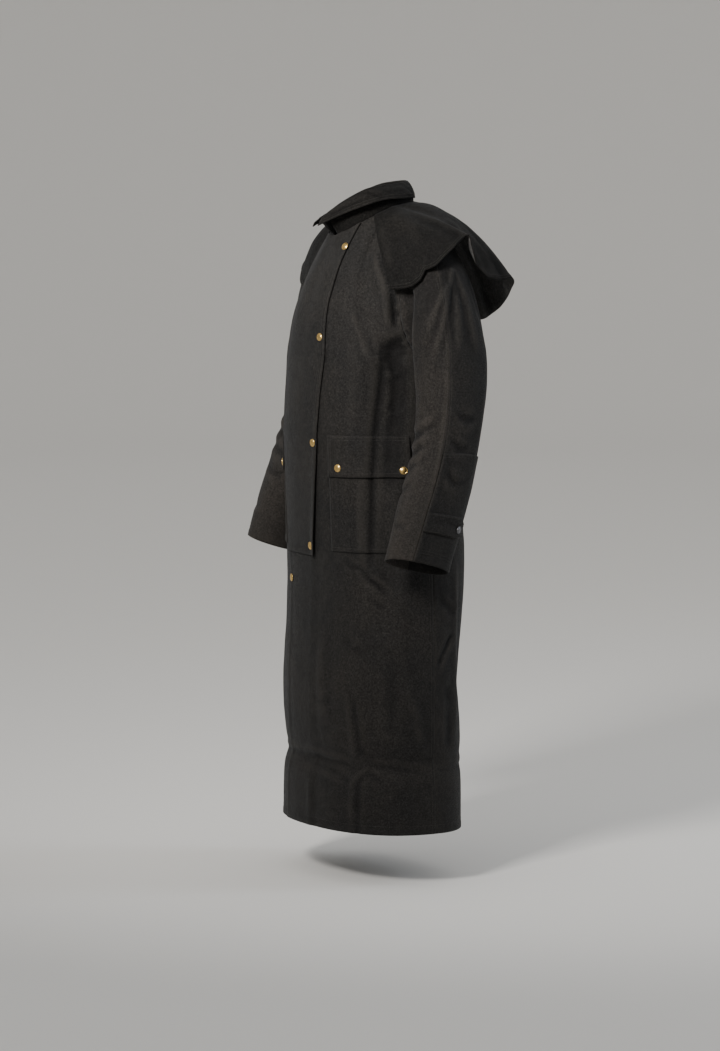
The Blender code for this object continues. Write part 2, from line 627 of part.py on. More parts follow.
for name, side, lead, chest_normals, rear_normals in (
    ("left", 1, 0.0, left_normals, back_left_normals),
    ("right", -1, RIGHT_ARM_LEAD, right_normals, back_right_normals),
):
    rim = [chest_normals[-1 - k, -1] for k in range(UPPER_STEPS + 1)]
    rim += [rear_normals[-1 - UPPER_STEPS + k, 0] for k in range(1, UPPER_STEPS)]
    rings = sleeve_grid(side, lead, rim)
    rings = np.roll(rings, -SEAM_SHIFT, axis=1)
    closed = np.concatenate([rings, rings[:, :1]], axis=1)
    normals, = shared_normals([closed], [side])
    if normals[5, 0, 0] * side < 0:
        normals = -normals
    centre = rings[0].mean(axis=0)
    radial = closed[0] - centre
    radial[:, 0] = 0.0
    normals[0] = unit(radial)
    half = UPPER_STEPS + 1 - SEAM_SHIFT
    cloth("sleeve_front_" + name, closed[:, :half], normals[:, :half], 0.0,
          ("first_column", "last_column"), SLEEVE_BLACK)
    behind = closed[:, half - 1:][:, ::-1]
    behind_normals = normals[:, half - 1:][:, ::-1]
    cloth("sleeve_back_" + name, behind, behind_normals, 0.0, ("first_column", "last_column"))
    patch = (slice(ELBOW_ROW, None), slice(0, PATCH_COLUMNS + 1))
    cloth("elbow_patch_" + name, behind[patch], behind_normals[patch], LAYER)
    tab_slice = (slice(TAB_ROWS[0], TAB_ROWS[1] + 1), slice(0, TAB_COLUMNS + 1))
    tab = behind[tab_slice].copy()
    tip = (tab[0, -1] + tab[1, -1]) / 2
    tab[:, -1] = tip + (tab[:, -1] - tip) * 0.55
    cloth("cuff_tab_" + name, tab, behind_normals[tab_slice], 2 * LAYER)
    middle, normals = middles["cuff_tab_" + name]
    at = TAB_COLUMNS - 1
    place = (middle[0, at] + middle[1, at]) / 2
    normal = unit(normals[0, at] + normals[1, at])
    add_snap("snap_cuff_" + name, place + normal * (WALL / 2 + SNAP_SEAT), normal, DARK_METAL, 0.42)

for snap in SNAPS:
    grid, normals = middles[snap.panel]
    place, normal = spot(grid, normals, snap.column, snap.height)
    add_snap(snap.name, place + normal * (WALL / 2 + SNAP_SEAT), normal, BRASS, 0.28)
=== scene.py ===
# %% [markdown]
# # A duster coat with a shoulder cape
# The coat is a long waxed cotton coat, shown in the shape it has when worn, with nobody
# inside. The imported model gives its main shape. This lesson dresses that shape: it makes the
# cloth finer, presses folds into it, sews it, sets the snaps and lights it.
#
# The first cell loads the imported model and keeps its meshes.

# %% Load the imported model
import math
from collections import namedtuple

import bpy
import numpy as np
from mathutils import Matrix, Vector, noise


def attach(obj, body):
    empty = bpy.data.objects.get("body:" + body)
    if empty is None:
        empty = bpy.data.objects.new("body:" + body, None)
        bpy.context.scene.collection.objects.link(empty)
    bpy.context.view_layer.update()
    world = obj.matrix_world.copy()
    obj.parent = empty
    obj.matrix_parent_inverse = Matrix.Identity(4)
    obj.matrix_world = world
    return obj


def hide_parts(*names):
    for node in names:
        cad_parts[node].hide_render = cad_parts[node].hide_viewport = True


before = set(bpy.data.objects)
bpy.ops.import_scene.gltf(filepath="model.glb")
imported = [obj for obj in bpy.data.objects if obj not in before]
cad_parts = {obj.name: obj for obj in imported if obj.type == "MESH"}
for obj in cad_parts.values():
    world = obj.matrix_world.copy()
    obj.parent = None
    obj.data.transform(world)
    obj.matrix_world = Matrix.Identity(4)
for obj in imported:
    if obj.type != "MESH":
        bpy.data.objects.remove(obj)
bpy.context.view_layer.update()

# %% [markdown]
# ## The coat's own sizes
# Every piece of cloth here lies where its solid lies, so the lesson starts from the same
# named sizes as the solids. Heights are measured up from a level line just under the hem, and
# the place where the coat is held, between the shoulders, is at 1.270 m. The wearer's left is
# +X and the front faces -Y.

# %% Sizes of the cloth and the body tube
WALL = 0.0016
SEAM_GAP = 0.0003
LAYER = WALL + 0.0004
HOLD_HEIGHT = 1.270
SIDE_SEAM_Y = 0.018
BODY_SQUARENESS = 2.35
ARMPIT_HEIGHT = 1.000
SHOULDER_HEIGHT = 1.250


def table(kind, rows):
    """A table whose rows have named fields."""
    return tuple(kind(*row) for row in rows)


Level = namedtuple("Level", "height half_width front_depth back_depth")
BODY = table(Level, (
    (0.000, 0.240, 0.1727, 0.1303),
    (0.080, 0.239, 0.1717, 0.1309),
    (0.120, 0.237, 0.1690, 0.1305),
    (0.155, 0.232, 0.1600, 0.1285),
    (0.210, 0.237, 0.1684, 0.1289),
    (0.320, 0.235, 0.1700, 0.1180),
    (0.420, 0.232, 0.1651, 0.1287),
    (0.520, 0.228, 0.1635, 0.1400),
    (0.595, 0.223, 0.1675, 0.1477),
    (0.700, 0.212, 0.1740, 0.1496),
    (0.835, 0.200, 0.1815, 0.1498),
    (0.910, 0.194, 0.1790, 0.1483),
    (1.000, 0.188, 0.1737, 0.1445),
))
ROW_HEIGHTS = (
    0.011, 0.040, 0.080, 0.120, 0.155, 0.190, 0.230, 0.275, 0.320, 0.370, 0.420, 0.470, 0.520,
    0.560, 0.580, 0.595, 0.650, 0.700, 0.750, 0.775, 0.795, 0.815, 0.835, 0.870, 0.910, 0.955,
    1.000,
)
UPPER_STEPS = 8
Fold = namedtuple("Fold", "angle spread low high depth")
BODY_FOLDS = table(Fold, (
    (58, 13, 0.40, 1.00, -0.009),
    (-60, 14, 0.36, 0.99, -0.008),
    (38, 12, 0.02, 0.52, 0.004),
    (138, 14, 0.34, 0.64, 0.005),
    (162, 13, 0.02, 0.80, -0.007),
    (-150, 15, 0.02, 0.72, -0.008),
    (-120, 12, 0.05, 0.55, 0.005),
))
FOLD_FADE = 0.10
print("body rings", len(ROW_HEIGHTS), "and", UPPER_STEPS, "rows above the armpit")

# %% Sizes of the fronts, pockets and storm flap
UNDERLAP_COLUMNS = (0.0, 0.030, 0.062, 0.094, 0.103, 0.111)
FLAP_EDGE = ((0.59, 0.035), (0.70, 0.047), (0.82, 0.060), (0.91, 0.064), (1.00, 0.072))
LAP_SHARES = (0.0, 0.35, 0.70, 1.0)
POCKET_FRONT_X = 0.090
SIDE_COLUMNS = 7
BACK_COLUMNS = 9
FRONT_LAST = 23
UNDER_COLUMNS = (0, 13)
LAP_COLUMNS = (9, 23)
FLAP_COLUMNS = (8, 15)
RIGHT_POCKET_COLUMNS = (1, 7)
LEFT_POCKET_COLUMNS = (16, 22)
TOP_ROW = len(ROW_HEIGHTS) - 1 + UPPER_STEPS
FLAP_ROWS = (ROW_HEIGHTS.index(0.580), TOP_ROW)
POCKET_ROWS = (ROW_HEIGHTS.index(0.595), ROW_HEIGHTS.index(0.795))
POCKET_FLAP_ROWS = (ROW_HEIGHTS.index(0.750), ROW_HEIGHTS.index(0.835))
FLAP_STAND_OFF = 0.006
FLAP_TOP_GAP = 0.006
POCKET_FLAP_LIFT = 0.002
NECK_HALF_WIDTH = 0.078
NECK_DEPTH = 0.088
NECK_Y = 0.005
NECK_ANGLES = (0, 30, 60, 90, 120, 180)
NECK_HEIGHTS = (1.243, 1.256, 1.281, 1.302, 1.311, 1.312)
NECK_NARROWING_LEFT = 0.82
NECK_NARROWING_RIGHT = 0.66
SHOULDER_NECK_ANGLE = 98
NECK_COLUMNS = 3
SHOULDER_COLUMNS = SIDE_COLUMNS - NECK_COLUMNS
ARMHOLE_FRONT = 0.063
ARMHOLE_BACK = 0.064
ARMHOLE_HEIGHTS = (1.000, 1.080, 1.150, 1.210, 1.250)
ARMHOLE_X = (0.188, 0.184, 0.189, 0.203, 0.222)
ARMHOLE_HIGH_Y = 0.034
Profile = namedtuple("Profile", "share y height")
CHEST_LINE = table(Profile, (
    (0.00, -0.1557, 1.000),
    (0.33, -0.1480, 1.080),
    (0.66, -0.1190, 1.165),
    (1.00, -0.0830, 1.243),
))
BACK_LINE = table(Profile, (
    (0.00, 0.1625, 1.000),
    (0.33, 0.1600, 1.110),
    (0.66, 0.1420, 1.220),
    (1.00, 0.0930, 1.312),
))
print("flap rows", FLAP_ROWS, "pocket rows", POCKET_ROWS)

# %% Sizes of the sleeves
Ring = namedtuple("Ring", "outer_x outer_z inner_x inner_z centre_y half_depth tilt")
SLEEVE = table(Ring, (
    (0.250, 1.224, 0.197, 0.984, 0.031, 0.062, 0.00),
    (0.275, 1.174, 0.204, 0.965, 0.034, 0.069, 0.00),
    (0.296, 1.107, 0.208, 0.942, 0.038, 0.075, 0.00),
    (0.311, 1.030, 0.209, 0.914, 0.041, 0.077, 0.00),
    (0.319, 0.950, 0.210, 0.878, 0.039, 0.076, 0.00),
    (0.323, 0.876, 0.214, 0.830, 0.030, 0.072, 0.02),
    (0.325, 0.806, 0.221, 0.780, 0.015, 0.071, 0.06),
    (0.326, 0.742, 0.229, 0.724, -0.003, 0.073, 0.12),
    (0.326, 0.684, 0.237, 0.670, -0.023, 0.073, 0.18),
    (0.325, 0.645, 0.242, 0.632, -0.036, 0.072, 0.22),
    (0.323, 0.612, 0.246, 0.604, -0.047, 0.071, 0.24),
    (0.320, 0.584, 0.249, 0.578, -0.056, 0.070, 0.26),
))
SLEEVE_SQUARENESS = 2.2
RIGHT_ARM_LEAD = 0.010
ELBOW_ROW = 7
TAB_ROWS = (9, 10)
SEAM_SHIFT = 1
PATCH_COLUMNS = 7
TAB_COLUMNS = 4
SHOULDER_DROP = 0.018
DROP_START = 1.000
DROP_END = 1.250
DROP_WIDTH = 0.080
print("sleeve rings", len(SLEEVE) + 1)

# %% Sizes of the collar and the cape
Collar = namedtuple("Collar", "angle fold_x fold_y fold_z edge_x edge_y edge_z")
COLLAR = table(Collar, (
    (5, 0.018, -0.112, 1.290, 0.010, -0.131, 1.264),
    (24, 0.036, -0.092, 1.311, 0.042, -0.106, 1.282),
    (44, 0.054, -0.074, 1.326, 0.070, -0.080, 1.297),
    (66, 0.067, -0.048, 1.340, 0.088, -0.052, 1.309),
    (90, 0.070, -0.014, 1.347, 0.092, -0.016, 1.318),
    (114, 0.064, 0.024, 1.351, 0.086, 0.030, 1.320),
    (136, 0.050, 0.053, 1.354, 0.066, 0.064, 1.321),
    (158, 0.028, 0.073, 1.356, 0.036, 0.086, 1.321),
    (180, 0.000, 0.080, 1.357, 0.000, 0.093, 1.321),
    (-158, -0.027, 0.073, 1.355, -0.036, 0.087, 1.320),
    (-136, -0.048, 0.054, 1.350, -0.065, 0.065, 1.316),
    (-114, -0.060, 0.026, 1.338, -0.084, 0.032, 1.306),
    (-90, -0.063, -0.012, 1.319, -0.087, -0.014, 1.293),
    (-66, -0.058, -0.046, 1.303, -0.081, -0.052, 1.280),
    (-44, -0.044, -0.070, 1.293, -0.062, -0.081, 1.271),
    (-24, -0.029, -0.092, 1.287, -0.038, -0.108, 1.266),
    (-5, -0.014, -0.113, 1.279, -0.010, -0.131, 1.262),
))
STAND_RISE = 0.0030
STAND_LEAN = 0.0025
FOLD_HEIGHT = 0.0032
Station = namedtuple("Station", "angle mid_x mid_y mid_z hem_x hem_y hem_z")
CAPE = table(Station, (
    (65, 0.144, -0.062, 1.224, 0.190, -0.063, 1.136),
    (70, 0.166, -0.048, 1.239, 0.224, -0.044, 1.143),
    (76, 0.186, -0.024, 1.257, 0.266, -0.024, 1.163),
    (83, 0.194, -0.002, 1.267, 0.289, -0.006, 1.184),
    (90, 0.196, 0.022, 1.273, 0.293, 0.022, 1.214),
    (98, 0.192, 0.050, 1.276, 0.278, 0.068, 1.243),
    (106, 0.186, 0.076, 1.277, 0.283, 0.088, 1.191),
    (116, 0.173, 0.099, 1.277, 0.275, 0.117, 1.162),
    (128, 0.158, 0.121, 1.275, 0.257, 0.160, 1.157),
    (140, 0.136, 0.145, 1.268, 0.233, 0.204, 1.155),
    (152, 0.100, 0.162, 1.261, 0.190, 0.228, 1.130),
    (163, 0.063, 0.172, 1.254, 0.122, 0.241, 1.090),
    (172, 0.030, 0.176, 1.250, 0.060, 0.244, 1.066),
    (180, 0.000, 0.177, 1.249, 0.000, 0.243, 1.062),
))
CAPE_RIGHT_SET_BACK = 0.005
CAPE_ROWS = 8
CAPE_NECK_OUT = 0.0032
CAPE_NECK_UP = 0.0012
print("collar stations", len(COLLAR), "cape stations", 2 * len(CAPE) - 1)

# %% [markdown]
# ## Grids of points
# A sewing pattern is a set of flat panels with seam lines. Here a panel is a grid of points:
# its rows run round the coat and its columns run up and down, so a pocket or a flap is just a
# smaller part of the same grid, and it follows the body under it exactly. The functions below
# find one point each: on a body ring, on the neck seam, on the armhole.

# %% Points on the body, the neck and the armhole
def unit(vectors):
    """Vectors of length one."""
    return vectors / np.maximum(np.linalg.norm(vectors, axis=-1, keepdims=True), 1e-12)


def settle(points):
    """Points with the wearer's right shoulder let down."""
    moved = np.array(points, dtype=float)
    side = np.clip(-moved[..., 0] / DROP_WIDTH, 0, 1)
    rise = np.clip((moved[..., 2] - DROP_START) / (DROP_END - DROP_START), 0, 1)
    moved[..., 2] -= SHOULDER_DROP * side**2 * (3 - 2 * side) * rise**2 * (3 - 2 * rise)
    return moved


def table_value(rows, key, at, name):
    """A value between the rows of a table."""
    places, values = ([getattr(row, field) for row in rows] for field in (key, name))
    return np.interp(at, places, values)


def pair_value(table, at):
    """The same for a table of pairs."""
    return np.interp(at, *zip(*table))


def between(lines, where):
    """A line between two lines of a grid, or a point between two points of a line."""
    first = min(int(where), len(lines) - 2)
    return lines[first] * (1 - where + first) + lines[first + 1] * (where - first)


def rounded(value, squareness=BODY_SQUARENESS):
    """The squarish curve of the coat's rings."""
    return math.copysign(abs(value) ** (2 / squareness), value)


def ring_point(height, angle):
    """A point on the body at an angle from the front, with its soft folds."""
    half_width = table_value(BODY, "height", height, "half_width")
    depth = table_value(BODY, "height", height, "front_depth" if abs(angle) <= 90 else "back_depth")
    turn = math.radians(angle)
    reach = 0.0
    for fold in BODY_FOLDS:
        away = abs((angle - fold.angle + 180) % 360 - 180) / fold.spread
        rise = min(height - fold.low, fold.high - height) / FOLD_FADE
        if away < 1 and rise > 0:
            reach += fold.depth * math.cos(away * math.pi / 2) ** 2 * min(rise, 1.0)
    x = half_width * rounded(math.sin(turn))
    y = SIDE_SEAM_Y - depth * rounded(math.cos(turn))
    return np.array([x + reach * math.sin(turn), y - reach * math.cos(turn), height])


def angle_at(height, x):
    """The angle of the ring point at a distance x from the middle of the front."""
    half_width = table_value(BODY, "height", height, "half_width")
    return math.degrees(math.asin((x / half_width) ** (BODY_SQUARENESS / 2)))


def neck_point(angle):
    """A point on the neck seam."""
    turn = math.radians(angle)
    height = np.interp(abs(angle), NECK_ANGLES, NECK_HEIGHTS)
    x, y = NECK_HALF_WIDTH * math.sin(turn), NECK_Y - NECK_DEPTH * math.cos(turn)
    return np.array([x, y, height])


def armhole_point(share, direction):
    """A point on the armhole, from the armpit (0) to the shoulder (1); -1 is the front side."""
    climb = math.radians(-90 + 180 * share)
    height = (ARMPIT_HEIGHT + SHOULDER_HEIGHT) / 2
    height += (SHOULDER_HEIGHT - ARMPIT_HEIGHT) / 2 * math.sin(climb)
    middle = SIDE_SEAM_Y + (ARMHOLE_HIGH_Y - SIDE_SEAM_Y) * share
    reach = ARMHOLE_FRONT if direction < 0 else ARMHOLE_BACK
    x = np.interp(height, ARMHOLE_HEIGHTS, ARMHOLE_X)
    return np.array([x, middle + direction * reach * math.cos(climb), height])


def shoulder_point(share):
    """A point on the shoulder seam, from the neck (0) to the armhole (1)."""
    neck = neck_point(SHOULDER_NECK_ANGLE)
    return neck + (armhole_point(1.0, 1) - neck) * share


print("neck at the back", neck_point(180).round(3), "shoulder end", shoulder_point(1.0).round(3))

# %% Rows of points across the fronts and the back
def profile_point(profile, share):
    """A point on the middle line of the chest or the back."""
    y = table_value(profile, "share", share, "y")
    return np.array([0.0, y, table_value(profile, "share", share, "height")])


def front_columns(height, central):
    """Ring angles of the columns of one front, from the middle to the side seam."""
    angles = [angle_at(height, x) for x in central]
    last = angles[-1]
    return angles + [last + (90 - last) * k / SIDE_COLUMNS for k in range(1, SIDE_COLUMNS + 1)]


def central_left(height):
    """Column distances on the left front, which follow the edge of the storm flap."""
    edge = pair_value(FLAP_EDGE, height)
    return [edge * share for share in LAP_SHARES] + [POCKET_FRONT_X]


def front_top(central, narrowing):
    """Upper ends of a front's columns: along the neck, then along the shoulder."""
    ends = [math.degrees(math.asin(x * narrowing / NECK_HALF_WIDTH)) for x in central]
    widest = ends[-1]
    step = (SHOULDER_NECK_ANGLE - widest) / NECK_COLUMNS
    ends += [widest + step * k for k in range(1, NECK_COLUMNS + 1)]
    shoulder = [shoulder_point(k / SHOULDER_COLUMNS) for k in range(1, SHOULDER_COLUMNS + 1)]
    return [neck_point(angle) for angle in ends] + shoulder


def upper_rows(low, top, profile, direction):
    """Rows between the armpit ring and the neck, filled in from the four borders."""
    weights = np.linspace(0, 1, len(low)) ** 1.3
    rows = []
    for k in range(1, UPPER_STEPS + 1):
        share = k / UPPER_STEPS
        straight = np.array(low) * (1 - share) + np.array(top) * share
        near_gap = profile_point(profile, share) - straight[0]
        far_gap = armhole_point(share, direction) - straight[-1]
        rows.append(straight + np.outer(1 - weights, near_gap) + np.outer(weights, far_gap))
    return rows


def front_grid(side, central_at, narrowing):
    """All points of one front from its middle line to the side seam."""
    rows = []
    for height in ROW_HEIGHTS:
        angles = front_columns(height, central_at(height))
        rows.append([ring_point(height, side * angle) for angle in angles])
    mirror = np.array([side, 1, 1])
    low = np.array(rows[-1]) * mirror
    top = front_top(central_at(ARMPIT_HEIGHT), narrowing)
    chest = upper_rows(low, top, CHEST_LINE, -1)
    return np.array(rows + [list(row * mirror) for row in chest])


def back_half(side):
    """All points of one half of the back, from the side seam to the middle line."""
    turns = np.linspace(90, 180, BACK_COLUMNS + 1)
    rows = [[ring_point(height, side * turn) for turn in turns] for height in ROW_HEIGHTS]
    mirror = np.array([side, 1, 1])
    low = np.array(rows[-1])[::-1] * mirror
    neck_columns = BACK_COLUMNS - SHOULDER_COLUMNS
    step = (180 - SHOULDER_NECK_ANGLE) / neck_columns
    top = [neck_point(180 - step * k) for k in range(neck_columns + 1)]
    top += [shoulder_point(k / SHOULDER_COLUMNS) for k in range(1, SHOULDER_COLUMNS + 1)]
    upper = upper_rows(low, top, BACK_LINE, 1)
    return np.array(rows + [list((row * mirror)[::-1]) for row in upper])


left_half = front_grid(1, central_left, NECK_NARROWING_LEFT)
right_half = settle(front_grid(-1, lambda height: UNDERLAP_COLUMNS, NECK_NARROWING_RIGHT))
front_coarse = np.concatenate([right_half[:, ::-1], left_half[:, 1:]], axis=1)
back_right_half = settle(back_half(-1))
back_coarse = np.concatenate([back_half(1), back_right_half[:, -2::-1]], axis=1)
print("front", front_coarse.shape, "back", back_coarse.shape)

# %% [markdown]
# ## Finer cloth
# The solids keep few faces, but cloth needs points every few millimetres before it can carry
# a fold. A subdivision surface would round the seam lines away from each other. A cubic curve
# through each row and each column keeps the given points where they are, so panels that share
# a seam still share it. `steps` says into how many parts each gap is cut, and the sum of the
# steps tells where an old column has gone in the finer grid.

# %% Refine a grid
def finer(grid, steps, before=None, after=None):
    """The grid with smooth extra rows between its rows."""
    before = 2 * grid[0] - grid[1] if before is None else before
    after = 2 * grid[-1] - grid[-2] if after is None else after
    line = np.concatenate([before[None], grid, after[None]])
    gaps = np.maximum(np.linalg.norm(np.diff(line, axis=0), axis=-1), 1e-6)[..., None]
    slopes = np.diff(line, axis=0) / gaps
    tangents = (slopes[:-1] * gaps[1:] + slopes[1:] * gaps[:-1]) / (gaps[:-1] + gaps[1:])
    rows = []
    for i, parts in enumerate(steps):
        for k in range(parts):
            t = k / parts
            start, end = grid[i], grid[i + 1]
            out, into = tangents[i] * gaps[i + 1], tangents[i + 1] * gaps[i + 1]
            bend = (t**3 - 2 * t**2 + t) * out + (t**3 - t**2) * into
            rows.append((2 * t**3 - 3 * t**2 + 1) * start + (3 * t**2 - 2 * t**3) * end + bend)
    return np.array(rows + [grid[-1]])


def finer_across(grid, steps, before=None, after=None):
    """The same for columns."""
    return finer(grid.transpose(1, 0, 2), steps, before, after).transpose(1, 0, 2)


def marks(steps):
    """Where each old row or column lies in the finer grid."""
    return np.concatenate([[0], np.cumsum(steps)])


CELL = 0.0052
PARTS = 7
ROW_STEPS = [max(3, round((b - a) / CELL)) for a, b in zip(ROW_HEIGHTS, ROW_HEIGHTS[1:])]
ROW_STEPS += [PARTS] * UPPER_STEPS
FRONT_STEPS = [PARTS] * SIDE_COLUMNS + [2, 2, 6, 6, 6, 4, 4, 4, 8] + [PARTS] * SIDE_COLUMNS
BACK_STEPS = [PARTS] * (2 * BACK_COLUMNS)
ROW = marks(ROW_STEPS)
FRONT = marks(FRONT_STEPS)
BACK = marks(BACK_STEPS)
ARMPIT = ROW[len(ROW_HEIGHTS) - 1]

front_rows = finer(front_coarse, ROW_STEPS)
back_rows = finer(back_coarse, ROW_STEPS)


def neighbour(own, next_column, other):
    """The points beyond a side seam: the other panel's below the armpit, else straight on."""
    line = 2 * own - next_column
    line[:ARMPIT] = other[:ARMPIT]
    return line


left_beyond = neighbour(front_rows[:, -1], front_rows[:, -2], back_rows[:, 1])
right_beyond = neighbour(front_rows[:, 0], front_rows[:, 1], back_rows[:, -2])
front = finer_across(front_rows, FRONT_STEPS, right_beyond, left_beyond)
left_beyond = neighbour(back_rows[:, 0], back_rows[:, 1], front_rows[:, -2])
right_beyond = neighbour(back_rows[:, -1], back_rows[:, -2], front_rows[:, 1])
back = finer_across(back_rows, BACK_STEPS, left_beyond, right_beyond)
# The shoulder seam is straight, so that both panels meet on it.
reach = sum(FRONT_STEPS[:SHOULDER_COLUMNS])
for panel in (front, back):
    for ends in ((0, reach), (panel.shape[1] - 1, panel.shape[1] - 1 - reach)):
        step = 1 if ends[1] > ends[0] else -1
        shares = np.linspace(0, 1, reach + 1)[:, None]
        where = ends[0] + step * np.arange(reach + 1)
        panel[-1, where] = panel[-1, ends[0]] * (1 - shares) + panel[-1, ends[1]] * shares
print("fine front", front.shape, "fine back", back.shape)

# %% [markdown]
# ## Sleeves, collar and cape
# A sleeve is a stack of rings from the armhole to the cuff, cut along the outer and the inner
# seam into a front and a back half. The collar's fall turns over the stand. Each column of the
# cape runs from the neck seam through a point halfway to the hem, and the stations bunch where
# the cape breaks into folds over the shoulder.

# %% Sleeve rings
SLEEVE_STEPS = [4] + [11] * (len(SLEEVE) - 1)
ROUND_STEPS = [PARTS] * (2 * UPPER_STEPS)
SLEEVE_ROW = marks(SLEEVE_STEPS)
ROUND = marks(ROUND_STEPS)
CUFF_DROP = 0.013
CUFF_TURN = 0.35
DROP_ROWS = (SLEEVE_ROW[8], SLEEVE_ROW[12])


def sleeve_grid(side, lead):
    """Rings of a sleeve from the armhole to the cuff, starting at the outer seam."""
    rings = []
    first = []
    for j in range(2 * UPPER_STEPS):
        share = 1 - j / UPPER_STEPS if j <= UPPER_STEPS else (j - UPPER_STEPS) / UPPER_STEPS
        point = armhole_point(share, -1 if j <= UPPER_STEPS else 1)
        first.append(point + np.array([WALL / 2 + 0.0002, 0, 0]))
    rings.append(first)
    for number, row in enumerate(SLEEVE):
        forward = lead * min(1.0, max(0.0, (number - 3) / 4))
        ring = []
        for j in range(2 * UPPER_STEPS):
            turn = math.pi * j / UPPER_STEPS
            up = rounded(math.cos(turn), SLEEVE_SQUARENESS)
            away = -row.half_depth * rounded(math.sin(turn), SLEEVE_SQUARENESS)
            x = (row.outer_x + row.inner_x) / 2 + (row.outer_x - row.inner_x) / 2 * up
            z = (row.outer_z + row.inner_z) / 2 + (row.outer_z - row.inner_z) / 2 * up
            ring.append([x, row.centre_y - forward + away, z - row.tilt * away])
        rings.append(ring)
    grid = np.array(rings)
    grid[..., 0] *= side
    grid = np.roll(settle(grid), -SEAM_SHIFT, axis=1)
    grid = np.concatenate([grid, grid[:, :1]], axis=1)
    tall = finer(grid, SLEEVE_STEPS)
    fine = finer_across(tall, ROUND_STEPS, tall[:, -2], tall[:, 1])
    inner = (1 - np.cos(np.linspace(0, 2 * math.pi, fine.shape[1]) + CUFF_TURN)) / 2
    low = np.clip((np.arange(fine.shape[0]) - DROP_ROWS[0]) / (DROP_ROWS[1] - DROP_ROWS[0]), 0, 1)
    fine[..., 2] -= CUFF_DROP * low[:, None] ** 1.5 * inner[None]
    return fine


sleeves = {"left": sleeve_grid(1, 0.0), "right": sleeve_grid(-1, RIGHT_ARM_LEAD)}
print("sleeve", sleeves["left"].shape)

# %% Collar and cape
STAND_STEPS = [3, 4, 4]
SEAM_INSIDE = 0.0035
SEAM_BELOW = 0.009
STAND_BULGE = 0.002
FALL_TURN = (0.0032, 0.0030)
FALL_BULGE = 0.0035
UNDER_FOLD = 0.0014
FALL_STEPS = [4, 4, 6, 6]
COLLAR_STEPS = [PARTS] * (len(COLLAR) - 1)
CAPE_DOWN = [6] * (CAPE_ROWS - 1)
CAPE_ROUND = [8] * (2 * len(CAPE) - 2)
stand_lines, fall_lines = [], []
for row in COLLAR:
    base = settle(neck_point(row.angle)) + np.array([0, 0, STAND_RISE])
    fold = np.array([row.fold_x, row.fold_y, row.fold_z])
    edge = np.array([row.edge_x, row.edge_y, row.edge_z])
    out = unit(np.array([edge[0] - fold[0], edge[1] - fold[1], 0.0]))
    top = fold - out * STAND_LEAN - np.array([0, 0, FOLD_HEIGHT + UNDER_FOLD])
    inside = base - out * SEAM_INSIDE - np.array([0, 0, SEAM_BELOW])
    stand_lines.append([inside, base, (base + top) / 2 + out * STAND_BULGE, top])
    start = fold - out * STAND_LEAN - np.array([0, 0, FOLD_HEIGHT])
    turned = fold + out * FALL_TURN[0] - np.array([0, 0, FALL_TURN[1]])
    fall_lines.append([start, fold, turned, (turned + edge) / 2 + out * FALL_BULGE, edge])
stand = finer(np.array(stand_lines).transpose(1, 0, 2), STAND_STEPS)
stand = finer_across(stand, COLLAR_STEPS)
fall = finer_across(finer(np.array(fall_lines).transpose(1, 0, 2), FALL_STEPS), COLLAR_STEPS)

cape_lines = []
for row in list(CAPE) + list(CAPE[-2::-1]):
    side = 1 if len(cape_lines) < len(CAPE) else -1
    turn = math.radians(row.angle)
    share = (row.angle - CAPE[0].angle) / (SHOULDER_NECK_ANGLE - CAPE[0].angle)
    forward = max(0.0, 1 - share) if side < 0 else 0.0
    set_back = np.array([0, CAPE_RIGHT_SET_BACK * forward, 0])
    out = np.array([math.sin(turn), -math.cos(turn), 0]) * CAPE_NECK_OUT
    away = out + np.array([0, 0, CAPE_NECK_UP])
    mirror = np.array([side, 1, 1])
    seam = (neck_point(row.angle) + away) * mirror
    middle = (np.array([row.mid_x, row.mid_y, row.mid_z]) + set_back) * mirror
    hem = (np.array([row.hem_x, row.hem_y, row.hem_z]) + set_back) * mirror
    line = []
    for t in np.linspace(0, 1, CAPE_ROWS):
        point = seam * (1 - t) * (1 - 2 * t) + middle * 4 * t * (1 - t) + hem * t * (2 * t - 1)
        line.append(point)
    cape_lines.append(line)
cape = finer(settle(np.array(cape_lines).transpose(1, 0, 2)), CAPE_DOWN)
cape = finer_across(cape, CAPE_ROUND)
CAPE_MARKS, CAPE_DOWN_MARKS = marks(CAPE_ROUND), marks(CAPE_DOWN)
print("collar", fall.shape, "cape", cape.shape)

# %% [markdown]
# ## Which way the cloth faces
# Thickness, folds and stitches are all measured along the cloth's normal, the direction that
# it faces. Where two panels meet, both must use the same normal or the seam would open, so the
# areas of all the cells that touch a point are added up first, for all the grids together.

# %% Normals shared along the seams
def face_vectors(grid):
    """The area vector of each cell of a grid."""
    return np.cross(grid[1:, 1:] - grid[:-1, :-1], grid[1:, :-1] - grid[:-1, 1:])


def shared_normals(grids):
    """Normals of grids that meet: points in the same place get the same normal."""
    points = np.concatenate([grid.reshape(-1, 3) for grid in grids])
    sums = np.zeros_like(points)
    start = 0
    for grid in grids:
        rows, columns = grid.shape[:2]
        own = sums[start:start + rows * columns].reshape(grid.shape)
        cells = face_vectors(grid)
        for r in (0, 1):
            for c in (0, 1):
                own[r:rows - 1 + r, c:columns - 1 + c] += cells
        start += rows * columns
    places, which = np.unique(np.round(points, 6), axis=0, return_inverse=True)
    which = which.ravel()
    totals = np.zeros_like(places)
    np.add.at(totals, which, sums)
    flat = unit(totals[which])
    result = []
    start = 0
    for grid in grids:
        count = grid.shape[0] * grid.shape[1]
        result.append(flat[start:start + count].reshape(grid.shape))
        start += count
    return result


